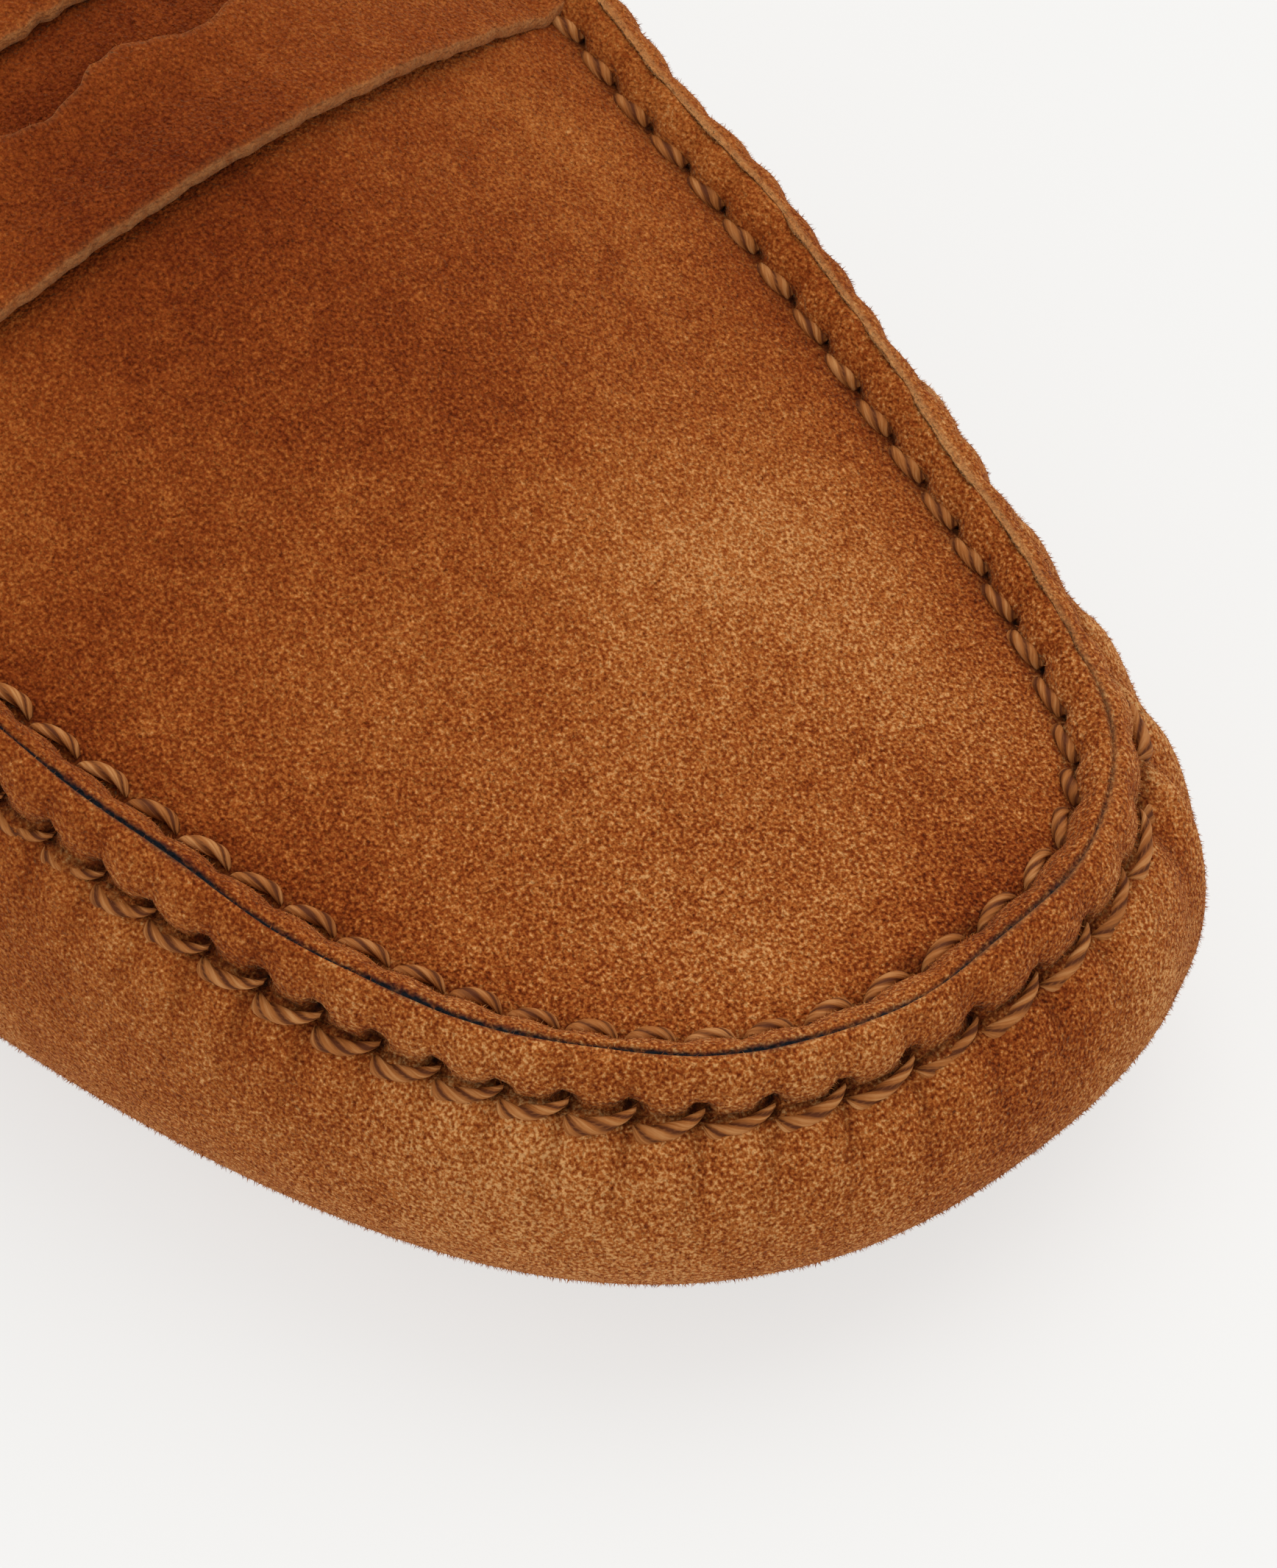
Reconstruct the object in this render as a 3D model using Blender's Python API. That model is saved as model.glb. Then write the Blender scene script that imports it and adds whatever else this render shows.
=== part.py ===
"""A right loafer of moccasin build, in suede.

Metres, +Z up. +X runs to the toe and +Y to the inner side of the foot.
The origin is on the floor, at the middle of the shoe's length and width.

The upper is one hollow shell: a wall that rises from under the foot, the raised
seam where the apron is sewn to it, the apron, and the tongue that it runs out to.
"""

import math
from collections import namedtuple

import bmesh
import bpy
import numpy as np

# Overall sizes of the shoe, over the upper
LENGTH = 0.288
BALL_WIDTH = 0.100
HEEL_WIDTH = 0.069
TOE_SWING = 0.007

# Heights above the floor of the collar and of the apron seam's foot
BACK_HEIGHT = 0.070
SIDE_HEIGHT = 0.051
THROAT_HEIGHT = 0.054
TOE_SEAM_HEIGHT = 0.026

# The upper
WALL_THICKNESS = 0.0022
MARGIN_WIDTH = 0.012
WALL_TUCK = 0.010
HEEL_TUCK = 0.007
SEAM_SET_BACK = 0.0050
COLLAR_LEAN = 0.009
VAMP_LENGTH = 0.137
TONGUE_LENGTH = 0.019
TONGUE_LIFT = 0.002

# The raised seam round the apron, from its outer foot. Its inner foot, at the apron's edge, is higher.
RIDGE_WIDTH = 0.0052
RIDGE_HEIGHT = 0.0050
RIDGE_ROUND = 0.0010
RIDGE_INNER_FOOT = 0.0022

# The strap across the apron, with its shaped slit
STRAP_SET_BACK = 0.0937
STRAP_WIDTH = 0.032
STRAP_THICKNESS = 0.0018
STRAP_BOW = 0.0030
STRAP_LIFT = 0.0008
SLIT_LENGTH = 0.046
SLIT_WIDTH = 0.0065
SLIT_SCALLOP = 0.0022

# Below the foot
INSOLE_THICKNESS = 0.0030
OUTSOLE_THICKNESS = 0.0035
OUTSOLE_SET_BACK = 0.0010
HEEL_HEIGHT = 0.010
HEEL_LENGTH = 0.068
HEEL_TAPER = 0.0015
TOE_SPRING = 0.0045
FLAT_START = 0.172
FLAT_END = 0.232

# Room between two pieces that lie against each other
PIECE_GAP = 0.0003

# Fineness of the faceted shapes
REAR_STEPS = 20
FORE_STEPS = 26
TONGUE_STEPS = 6
APRON_STEPS = 12
SOLE_STEPS = 4
ARC_STEPS = 4

# The last, from the heel to the toe, one row for each station.
# along is measured from the heel. outer and inner are how far the widest line lies to each
# side. top is the height of the collar or of the seam's foot, and drop is how much lower it
# is on the outer side. lean is how far that top edge stands in from the widest line, and
# tuck is how far the bottom edge does. belly is the height of the widest line as a share of
# the wall's height, shoulder is the angle through which the wall rounds over at its top, and
# crown is the apron's rise as a share of its half width.
Station = namedtuple("Station", "along outer inner top drop lean tuck belly shoulder crown")
LAST = [
    Station(0.000 * LENGTH, 0.000 * HEEL_WIDTH, 0.000 * HEEL_WIDTH, 1.000 * BACK_HEIGHT,
            0.000, 0.50 * COLLAR_LEAN, 1.0 * HEEL_TUCK, 0.40, 50, 0.40),
    Station(0.022 * LENGTH, 0.290 * HEEL_WIDTH, 0.290 * HEEL_WIDTH, 0.985 * BACK_HEIGHT,
            0.000, 0.55 * COLLAR_LEAN, 1.0 * HEEL_TUCK, 0.40, 50, 0.40),
    Station(0.075 * LENGTH, 0.430 * HEEL_WIDTH, 0.430 * HEEL_WIDTH, 0.910 * BACK_HEIGHT,
            0.001, 0.75 * COLLAR_LEAN, 1.0 * HEEL_TUCK, 0.40, 50, 0.40),
    Station(0.170 * LENGTH, 0.505 * HEEL_WIDTH, 0.495 * HEEL_WIDTH, 1.060 * SIDE_HEIGHT,
            0.002, 1.00 * COLLAR_LEAN, 1.1 * HEEL_TUCK, 0.40, 52, 0.40),
    Station(0.300 * LENGTH, 0.510 * HEEL_WIDTH, 0.460 * HEEL_WIDTH, 1.000 * SIDE_HEIGHT,
            0.003, 1.15 * COLLAR_LEAN, 0.9 * WALL_TUCK, 0.42, 56, 0.40),
    Station(0.430 * LENGTH, 0.395 * BALL_WIDTH, 0.330 * BALL_WIDTH, 1.070 * SIDE_HEIGHT,
            0.002, 1.45 * COLLAR_LEAN, 1.0 * WALL_TUCK, 0.42, 62, 0.40),
    Station(0.540 * LENGTH, 0.468 * BALL_WIDTH, 0.395 * BALL_WIDTH, 0.960 * THROAT_HEIGHT,
            0.002, 2.30 * SEAM_SET_BACK, 1.0 * WALL_TUCK, 0.42, 68, 0.34),
    Station(0.650 * LENGTH, 0.516 * BALL_WIDTH, 0.452 * BALL_WIDTH, 0.855 * THROAT_HEIGHT,
            0.001, 1.20 * SEAM_SET_BACK, 1.0 * WALL_TUCK, 0.44, 74, 0.24),
    Station(0.750 * LENGTH, 0.508 * BALL_WIDTH, 0.460 * BALL_WIDTH, 1.500 * TOE_SEAM_HEIGHT,
            0.000, 0.95 * SEAM_SET_BACK, 1.0 * WALL_TUCK, 0.46, 78, 0.17),
    Station(0.840 * LENGTH, 0.446 * BALL_WIDTH, 0.436 * BALL_WIDTH, 1.220 * TOE_SEAM_HEIGHT,
            0.000, 1.00 * SEAM_SET_BACK, 1.0 * WALL_TUCK, 0.48, 80, 0.13),
    Station(0.920 * LENGTH, 0.350 * BALL_WIDTH, 0.388 * BALL_WIDTH, 1.050 * TOE_SEAM_HEIGHT,
            0.000, 1.05 * SEAM_SET_BACK, 1.0 * WALL_TUCK, 0.50, 80, 0.11),
    Station(0.970 * LENGTH, 0.230 * BALL_WIDTH, 0.311 * BALL_WIDTH, 1.000 * TOE_SEAM_HEIGHT,
            0.000, 1.15 * SEAM_SET_BACK, 1.0 * WALL_TUCK, 0.50, 80, 0.10),
    Station(0.993 * LENGTH, 0.109 * BALL_WIDTH, 0.197 * BALL_WIDTH, 1.000 * TOE_SEAM_HEIGHT,
            0.000, 1.13 * SEAM_SET_BACK, 1.0 * WALL_TUCK, 0.50, 80, 0.10),
    Station(1.000 * LENGTH, -TOE_SWING, TOE_SWING, 1.000 * TOE_SEAM_HEIGHT,
            0.000, 1.13 * SEAM_SET_BACK, 1.0 * WALL_TUCK, 0.50, 80, 0.10),
]
LAST_GIRTH = len(LAST) - 1


def smooth_step(share):
    """0 to 1 with level ends."""
    share = np.clip(share, 0.0, 1.0)
    return share * share * (3.0 - 2.0 * share)


class ClosedCurve:
    """A closed cubic curve through rows of numbers, spaced by the plan distance between them."""

    def __init__(self, rows):
        self.rows = np.array(rows, float)
        around = np.vstack([self.rows, self.rows[:1]])
        steps = np.linalg.norm(np.diff(around[:, :2], axis=0), axis=1)
        self.knots = np.concatenate([[0.0], np.cumsum(steps)])
        count = len(self.rows)
        matrix = np.zeros((count, count))
        slopes = np.diff(around, axis=0) / steps[:, None]
        for i in range(count):
            before, after = steps[i - 1], steps[i]
            matrix[i, i - 1] += before
            matrix[i, i] += 2.0 * (before + after)
            matrix[i, (i + 1) % count] += after
        bends = np.linalg.solve(matrix, 6.0 * (slopes - np.roll(slopes, 1, axis=0)))
        self.steps, self.around = steps, around
        self.bends = np.vstack([bends, bends[:1]])

    def at(self, knot):
        """The row at a knot number, where 1.5 is halfway between the rows 1 and 2, and its slope."""
        knot = knot % len(self.rows)
        i = min(int(knot), len(self.rows) - 1)
        step = self.steps[i]
        b = knot - i
        a = 1.0 - b
        here, there = self.around[i], self.around[i + 1]
        bend, next_bend = self.bends[i], self.bends[i + 1]
        value = a * here + b * there + ((a**3 - a) * bend + (b**3 - b) * next_bend) * step**2 / 6.0
        slope = (there - here) / step + ((3 * b * b - 1) * next_bend - (3 * a * a - 1) * bend) * step / 6.0
        return value, slope


def around_the_last():
    """The closed curve of the last: heel, outer side, toe, inner side."""
    rows = []
    for station in LAST:
        rest = [station.top - station.drop, *station[5:]]
        rows.append([station.along, -station.outer, *rest])
    for station in LAST[-2:0:-1]:
        rows.append([station.along, station.inner, station.top, *station[5:]])
    return ClosedCurve(rows)


CURVE = around_the_last()
Place = namedtuple("Place", "x y out_x out_y top lean tuck belly shoulder crown")


def place(girth, side):
    """The last at a girth from 0, the heel, to LAST_GIRTH, the toe, on the outer side (-1) or inner side (+1)."""
    knot = girth if side < 0 else 2 * LAST_GIRTH - girth
    row, slope = CURVE.at(knot)
    turn = math.hypot(slope[0], slope[1])
    return Place(row[0], row[1], slope[1] / turn, -slope[0] / turn, *row[2:])


def sole_underside(x):
    """Height above the floor of the outsole's lower face."""
    arch = 1.0 - smooth_step((x - HEEL_LENGTH) / (FLAT_START - HEEL_LENGTH))
    spring = np.clip((x - FLAT_END) / (LENGTH - FLAT_END), 0.0, 1.0)
    return HEEL_HEIGHT * arch + TOE_SPRING * spring**2


def feather_height(x):
    """Height of the upper's lowest face, where it lies on the outsole."""
    return sole_underside(x) + OUTSOLE_THICKNESS + PIECE_GAP


def feather_under(spot, inset):
    """The same height at that inset from the widest line."""
    return feather_height(spot.x - spot.out_x * inset)


def inset_point(spot, inset, height):
    """The point at that inset from the widest line, square to it in plan."""
    return (spot.x - spot.out_x * inset, spot.y - spot.out_y * inset, height)


def wall_profile(spot, depth):
    """The wall's section, from the widest line down and under, then up: (inset, height) pairs, bottom edge first.

    depth moves the section into the wall, square to its face.
    """
    low = feather_under(spot, spot.tuck)
    middle = low + spot.belly * (spot.top - low)
    edge = spot.tuck + MARGIN_WIDTH
    section = [(edge, feather_under(spot, edge) + depth)]
    for i in range(ARC_STEPS + 1):
        turn = math.radians(90.0 * (1.0 - i / ARC_STEPS))
        section.append(
            (
                spot.tuck - (spot.tuck - depth) * math.cos(turn),
                middle - (middle - low - depth) * math.sin(turn),
            )
        )
    full = math.radians(spot.shoulder)
    deep, tall = spot.lean / (1.0 - math.cos(full)), (spot.top - middle) / math.sin(full)
    for i in range(1, ARC_STEPS + 2):
        turn = full * i / (ARC_STEPS + 1)
        across, up = math.cos(turn) / deep, math.sin(turn) / tall
        size = math.hypot(across, up)
        section.append(
            (
                deep * (1.0 - math.cos(turn)) + depth * across / size,
                middle + tall * math.sin(turn) - depth * up / size,
            )
        )
    return section


def ridge_profile(spot):
    """The raised seam's section, from its outer foot to its inner foot."""
    foot, top = spot.lean, spot.top
    crest = top + RIDGE_HEIGHT
    return [
        (foot + 0.10 * RIDGE_WIDTH, crest - RIDGE_ROUND),
        (foot + 0.28 * RIDGE_WIDTH, crest),
        (foot + 0.55 * RIDGE_WIDTH, crest),
        (foot + 0.82 * RIDGE_WIDTH, crest - RIDGE_ROUND),
        (foot + RIDGE_WIDTH, top + RIDGE_INNER_FOOT),
    ]


def girth_at(x, side, inset_of):
    """The girth at which the line that inset_of describes reaches x, found by halving."""
    low, high = 0.0, float(LAST_GIRTH)
    for _ in range(50):
        middle = (low + high) / 2.0
        spot = place(middle, side)
        if spot.x - spot.out_x * inset_of(spot) < x:
            low = middle
        else:
            high = middle
    return (low + high) / 2.0


THROAT_GIRTH = girth_at(LENGTH - VAMP_LENGTH, -1, lambda spot: 0.0)
REAR_GIRTHS = np.linspace(0.0, THROAT_GIRTH, REAR_STEPS + 1)
FORE_GIRTHS = np.linspace(THROAT_GIRTH, LAST_GIRTH, FORE_STEPS + 1)
GIRTHS = np.concatenate([REAR_GIRTHS[:-1], FORE_GIRTHS])


def apron_inset(spot):
    """Inset of the apron's edge, at the ridge's inner foot."""
    return spot.lean + RIDGE_WIDTH


def apron_edges():
    """The apron's edges as arrays of x, y, height and crown for each side, from the throat to the toe."""
    edges = {}
    for side in (-1, 1):
        rows = []
        for girth in np.linspace(THROAT_GIRTH, LAST_GIRTH, 12 * FORE_STEPS + 1):
            spot = place(girth, side)
            x, y, height = inset_point(spot, apron_inset(spot), spot.top + RIDGE_INNER_FOOT)
            rows.append((x, y, height, spot.crown))
        edges[side] = np.array(rows).T
    return edges


EDGES = apron_edges()
THROAT_X = min(EDGES[-1][0][0], EDGES[1][0][0])


def edge_at(side, x):
    """y, height and crown of the apron's edge at x. Behind the throat it runs straight on, as the tongue's surface does."""
    along, across, height, crown = EDGES[side]
    order = np.argsort(along)
    found = [np.interp(x, along[order], column[order]) for column in (across, height, crown)]
    behind = along[0] - x
    if behind > 0.0:
        climb = (height[0] - height[FORE_STEPS]) / (along[FORE_STEPS] - along[0])
        found[1] += behind * climb + TONGUE_LIFT * (behind / TONGUE_LENGTH) ** 2
    return found


def apron_height(x, y):
    """Height of the apron's or the tongue's outer face."""
    (outer_y, outer_z, outer_crown), (inner_y, inner_z, inner_crown) = edge_at(-1, x), edge_at(1, x)
    width = max(inner_y - outer_y, PIECE_GAP)
    share = min(max((y - outer_y) / width, 0.0), 1.0)
    level = outer_z + share * (inner_z - outer_z)
    rise = 0.5 * (outer_crown + inner_crown) * width / 2.0
    return level + rise * (1.0 - (2.0 * share - 1.0) ** 2)


class Builder:
    """Points and faces of a lofted solid."""

    def __init__(self):
        self.mesh = bmesh.new()

    def row(self, points):
        return [self.mesh.verts.new(point) for point in points]

    def face(self, *corners):
        distinct = list(dict.fromkeys(corners))
        if len(distinct) > 2:
            self.mesh.faces.new(distinct)

    def bridge(self, row, other, closed=False):
        """Faces between two rows with the same number of points."""
        ends = len(row) if closed else len(row) - 1
        for i in range(ends):
            j = (i + 1) % len(row)
            self.face(row[i], row[j], other[j], other[i])

    def finish(self, name, material):
        """One closed object with its faces pointing out, shaded smooth but for its sharp edges."""
        bmesh.ops.recalc_face_normals(self.mesh, faces=self.mesh.faces)
        data = bpy.data.meshes.new(name)
        self.mesh.to_mesh(data)
        self.mesh.free()
        data.shade_smooth()
        data.set_sharp_from_angle(angle=math.radians(40.0))
        data.materials.append(material)
        made = bpy.data.objects.new(name, data)
        SHOE.objects.link(made)
        return made


def both_sides(girths):
    """(girth, side) pairs all the way round: heel, outer side, toe, inner side."""
    outer = [(girth, -1) for girth in girths]
    return outer + [(girth, 1) for girth in girths[-2:0:-1]]


def upper(material):
    """The hollow upper: wall, raised seam, apron and tongue."""
    builder = Builder()
    stops = both_sides(GIRTHS)
    spots = [place(girth, side) for girth, side in stops]
    first, last = REAR_STEPS, len(spots) - REAR_STEPS
    skins = {}
    for depth in (0.0, WALL_THICKNESS):
        sections = [wall_profile(spot, depth) for spot in spots]
        rows = []
        for level in range(len(sections[0])):
            rows.append(builder.row([inset_point(s, *c[level]) for s, c in zip(spots, sections)]))
        for low, high in zip(rows, rows[1:]):
            builder.bridge(low, high, closed=True)
        skins[depth] = rows
    outside, inside = skins[0.0], skins[WALL_THICKNESS]
    builder.bridge(outside[0], inside[0], closed=True)
    collar = [*range(last, len(spots)), *range(first + 1)]
    builder.bridge([outside[-1][i] for i in collar], [inside[-1][i] for i in collar])

    sewn = range(first, last + 1)
    ridge = [[outside[-1][i] for i in sewn]]
    for level in range(len(ridge_profile(spots[first]))):
        points = [inset_point(spots[i], *ridge_profile(spots[i])[level]) for i in sewn]
        ridge.append(builder.row(points))
        builder.bridge(ridge[-2], ridge[-1])
    under = [inside[-1][i] for i in sewn]

    faces = []
    for edge, below in ((ridge[-1], 0.0), (under, WALL_THICKNESS)):
        chords = [apron_chord(builder, edge, i, below) for i in range(FORE_STEPS)]
        chords = [tongue_chord(builder, i, below) for i in range(TONGUE_STEPS, 0, -1)] + chords
        for chord, ahead in zip(chords, chords[1:]):
            builder.bridge(chord, ahead)
        toe = edge[FORE_STEPS]
        for i in range(APRON_STEPS):
            builder.face(chords[-1][i], chords[-1][i + 1], toe)
        faces.append(chords)
    for end in (0, -1):
        rims = [[chord[end] for chord in chords[: TONGUE_STEPS + 1]] for chords in faces]
        builder.bridge(*rims)
        builder.face(*[row[end] for row in ridge], under[end])
    builder.bridge(faces[0][0], faces[1][0])
    return builder.finish("upper", material)


def apron_chord(builder, edge, step, below):
    """A row of points across the apron, from the outer edge's point to the inner edge's."""
    outer, inner = edge[step], edge[-1 - step]
    middle = []
    for i in range(1, APRON_STEPS):
        share = i / APRON_STEPS
        x = outer.co.x + share * (inner.co.x - outer.co.x)
        outer_y, inner_y = edge_at(-1, x)[0], edge_at(1, x)[0]
        y = outer_y + share * (inner_y - outer_y)
        middle.append((x, y, apron_height(x, y) - below))
    return [outer, *builder.row(middle), inner]


def tongue_half(share):
    """Half width of the tongue as a share of the apron's, at a share of the tongue's length."""
    return math.sqrt(1.0 - share**2.6)


def tongue_chord(builder, step, below):
    """A row of points across the tongue, behind the seam's end."""
    share = 0.98 * step / TONGUE_STEPS
    x = THROAT_X - TONGUE_LENGTH * share
    outer_y, inner_y = edge_at(-1, x)[0], edge_at(1, x)[0]
    points = []
    for i in range(APRON_STEPS + 1):
        across = 0.5 + tongue_half(share) * (i / APRON_STEPS - 0.5)
        y = outer_y + across * (inner_y - outer_y)
        points.append((x, y, apron_height(x, y) - below))
    return builder.row(points)


def slab(name, material, insets, heights, end_x=None):
    """A solid of the last's outline, between two faces that each have an inset and a height from their place."""
    builder = Builder()
    levels = []
    for inset_of, height_of in zip(insets, heights):
        chords = []
        last = LAST_GIRTH if end_x is None else min(girth_at(end_x, side, inset_of) for side in (-1, 1))
        girths = GIRTHS if end_x is None else np.linspace(0.0, last, REAR_STEPS + 1)
        for girth in girths:
            ends = [place(girth, side) for side in (-1, 1)]
            corners = [inset_point(spot, inset_of(spot), 0.0) for spot in ends]
            if end_x is not None and girth == last:
                corners = [(end_x, corner[1], 0.0) for corner in corners]
            single = np.allclose(corners[0], corners[1])
            count = 1 if single else SOLE_STEPS + 1
            shares = np.linspace(0.0, 1.0, count)
            points = [np.array(corners[0]) + share * np.subtract(corners[1], corners[0]) for share in shares]
            row = builder.row([(p[0], p[1], height_of(p[0])) for p in points])
            chords.append(row * (SOLE_STEPS + 1) if single else row)
        for chord, ahead in zip(chords, chords[1:]):
            builder.bridge(chord, ahead)
        levels.append(chords)
    for end in (0, -1):
        builder.bridge(*[[chord[end] for chord in chords] for chords in levels])
    if end_x is not None:
        builder.bridge(levels[0][-1], levels[1][-1])
    return builder.finish(name, material)


def inner_wall_inset(spot, height):
    """Inset of the upper's inner face at a height above the floor, below the widest line."""
    insets, heights = np.array(wall_profile(spot, WALL_THICKNESS)[1 : ARC_STEPS + 2]).T
    return float(np.interp(height, heights, insets))


def insole(material):
    """The insole, which lies on the upper's turned-in margin and cups up along the wall."""
    low = lambda x: feather_height(x) + WALL_THICKNESS + PIECE_GAP
    high = lambda x: low(x) + INSOLE_THICKNESS
    room = 4.0 * PIECE_GAP
    low_inset = lambda spot: spot.tuck + PIECE_GAP
    high_inset = lambda spot: inner_wall_inset(spot, high(spot.x)) + room
    return slab("insole", material, (low_inset, high_inset), (low, high))


def outsole(material):
    """The thin outsole, set back under the wall, with arch and toe spring."""
    inset = lambda spot: spot.tuck + OUTSOLE_SET_BACK
    top = lambda x: sole_underside(x) + OUTSOLE_THICKNESS
    return slab("outsole", material, (inset, inset), (sole_underside, top))


def heel(material):
    """The low heel under the outsole, a little smaller at the floor."""
    top_inset = lambda spot: spot.tuck + OUTSOLE_SET_BACK
    low_inset = lambda spot: top_inset(spot) + HEEL_TAPER
    level = HEEL_HEIGHT - PIECE_GAP
    heights = (lambda x: 0.0, lambda x: level)
    return slab("heel", material, (low_inset, top_inset), heights, end_x=HEEL_LENGTH)


def strap_front(share):
    """x of the strap's front edge at a share of its way across, from the outer end to the inner end."""
    return LENGTH - STRAP_SET_BACK + STRAP_BOW * (1.0 - (2.0 * share - 0.75) ** 2)


def slit_edge(reach, rear):
    """How far behind the strap's front edge the slit's front or rear edge lies, at a reach of -1 to 1 along it."""
    middle = STRAP_WIDTH / 2.0
    half = SLIT_WIDTH / 2.0 * math.sqrt(max(1.0 - abs(reach) ** 3, 0.0))
    if rear:
        return middle + half
    scallops = SLIT_SCALLOP * abs(math.sin(1.5 * math.pi * reach)) * (1.0 - reach * reach)
    return middle - half - scallops


def strap_columns(share, width):
    """Shares of the strap's width, front to rear, of the rows of points at a share of its way across."""
    reach = (share - 0.5) * width / (SLIT_LENGTH / 2.0)
    if abs(reach) > 1.0:
        cut = (0.5, 0.5)
    else:
        cut = (slit_edge(reach, False) / STRAP_WIDTH, slit_edge(reach, True) / STRAP_WIDTH)
    return [0.0, 0.5 * cut[0], cut[0], cut[1], 0.5 * (1.0 + cut[1]), 1.0], abs(reach) < 1.0


def strap(material):
    """The strap, which lies across the apron from ridge to ridge, with a shaped slit."""
    builder = Builder()
    middle_x = strap_front(0.5) - STRAP_WIDTH / 2.0
    width = edge_at(1, middle_x)[0] - edge_at(-1, middle_x)[0]
    half_slit = SLIT_LENGTH / width / 2.0
    side = np.linspace(0.0, 0.5 - half_slit, 7)
    slit = 0.5 - half_slit * np.cos(np.linspace(0.0, math.pi, 19))
    shares = np.concatenate([side, slit[1:-1], 1.0 - side[::-1]])
    faces = []
    for lift in (PIECE_GAP, PIECE_GAP + STRAP_THICKNESS):
        rows = []
        for share in shares:
            columns, opened = strap_columns(share, width)
            rows.append((strap_row(builder, share, columns, lift), opened))
        faces.append(rows)
        for (row, opened), (ahead, ahead_opened) in zip(rows, rows[1:]):
            for i in range(len(row) - 1):
                if i != 2:
                    builder.face(row[i], row[i + 1], ahead[i + 1], ahead[i])
    below, above = faces
    for (low, _), (low_ahead, _), (high, _), (high_ahead, _) in zip(below, below[1:], above, above[1:]):
        edges = (0, -1, 2, 3) if low[2] is not low[3] or low_ahead[2] is not low_ahead[3] else (0, -1)
        for i in edges:
            builder.face(low[i], low_ahead[i], high_ahead[i], high[i])
    for end in (0, -1):
        low, high = below[end][0], above[end][0]
        for i in range(len(low) - 1):
            builder.face(low[i], low[i + 1], high[i + 1], high[i])
    return builder.finish("strap", material)


def strap_row(builder, share, columns, lift):
    """Points from the strap's front edge to its rear edge. Where the slit is shut its two points are one."""
    row = []
    for i, column in enumerate(columns):
        if i == 3 and columns[3] == columns[2]:
            row.append(row[-1])
            continue
        x = strap_front(share) - column * STRAP_WIDTH
        outer_y, inner_y = edge_at(-1, x)[0] + PIECE_GAP, edge_at(1, x)[0] - PIECE_GAP
        y = outer_y + share * (inner_y - outer_y)
        bulge = STRAP_LIFT * math.sin(math.pi * share)
        row.append(builder.mesh.verts.new((x, y, apron_height(x, y) + lift + bulge)))
    return row


def material(name, colour, roughness):
    """A plain Principled material."""
    made = bpy.data.materials.new(name)
    made.use_nodes = True
    shader = made.node_tree.nodes["Principled BSDF"]
    shader.inputs["Base Color"].default_value = (*colour, 1.0)
    shader.inputs["Roughness"].default_value = roughness
    shader.inputs["Metallic"].default_value = 0.0
    made.diffuse_color = (*colour, 1.0)
    return made


def centre_on_origin(parts):
    """Moves the parts so that the middle of their length and width is over the origin."""
    corners = np.array([vertex.co for part in parts for vertex in part.data.vertices])
    middle = (corners.min(axis=0) + corners.max(axis=0)) / 2.0
    for part in parts:
        part.location = (-middle[0], -middle[1], 0.0)


def build():
    suede = material("suede_tan", (0.34, 0.13, 0.035), 0.95)
    calf = material("lining_leather", (0.45, 0.28, 0.15), 0.55)
    rubber = material("sole_rubber", (0.10, 0.05, 0.03), 0.75)
    parts = [upper(suede), strap(suede), insole(calf), outsole(rubber), heel(rubber)]
    centre_on_origin(parts)


for old in list(bpy.data.objects):
    bpy.data.objects.remove(old, do_unlink=True)
SHOE = bpy.data.collections.new("loafer")
bpy.context.scene.collection.children.link(SHOE)
build()
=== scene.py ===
# %% [markdown]
# # A right suede loafer
# The real shoe is a moccasin: one suede wall wraps the foot from below, and a separate apron
# is sewn to it by hand along a raised seam. A strap with a shaped slit lies across the apron.
# The frame holds the plain solids. Here each one gets its fine surface, its thread and its nap.
# Everything is in metres, with +X to the toe, +Y to the inner side of the foot and +Z up.

import math
from collections import namedtuple

import bmesh
import bpy
import numpy as np
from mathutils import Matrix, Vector


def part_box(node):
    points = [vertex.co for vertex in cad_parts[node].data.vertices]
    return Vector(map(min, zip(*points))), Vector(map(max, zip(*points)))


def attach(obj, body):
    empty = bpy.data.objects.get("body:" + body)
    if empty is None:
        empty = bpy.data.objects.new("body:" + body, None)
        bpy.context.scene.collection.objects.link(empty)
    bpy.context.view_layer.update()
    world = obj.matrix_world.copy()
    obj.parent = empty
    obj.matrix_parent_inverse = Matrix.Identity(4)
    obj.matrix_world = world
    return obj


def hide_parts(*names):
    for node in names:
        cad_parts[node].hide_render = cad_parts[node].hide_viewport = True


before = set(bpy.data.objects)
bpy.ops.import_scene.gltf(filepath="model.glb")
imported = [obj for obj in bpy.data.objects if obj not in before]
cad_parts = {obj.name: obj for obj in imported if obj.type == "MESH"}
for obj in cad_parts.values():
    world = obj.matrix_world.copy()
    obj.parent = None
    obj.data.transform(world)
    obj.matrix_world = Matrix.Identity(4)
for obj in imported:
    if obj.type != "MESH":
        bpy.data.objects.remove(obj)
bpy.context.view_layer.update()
MM = 0.001
print("CAD nodes:", ", ".join(sorted(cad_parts)))

# %% [markdown]
# ## Colours and nodes
# Colours are written as the sRGB values that an eye would pick, and one function turns them
# into the linear values that Blender works in. One more function adds any node to any tree,
# so that a shader and a Geometry Nodes tree are both built in the same short way.


# %% Two helpers
def linear(colour):
    """A #rrggbb colour as linear RGBA."""
    shares = [int(colour[i : i + 2], 16) / 255.0 for i in (1, 3, 5)]
    return (*[c / 12.92 if c <= 0.04045 else ((c + 0.055) / 1.055) ** 2.4 for c in shares], 1.0)


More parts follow.
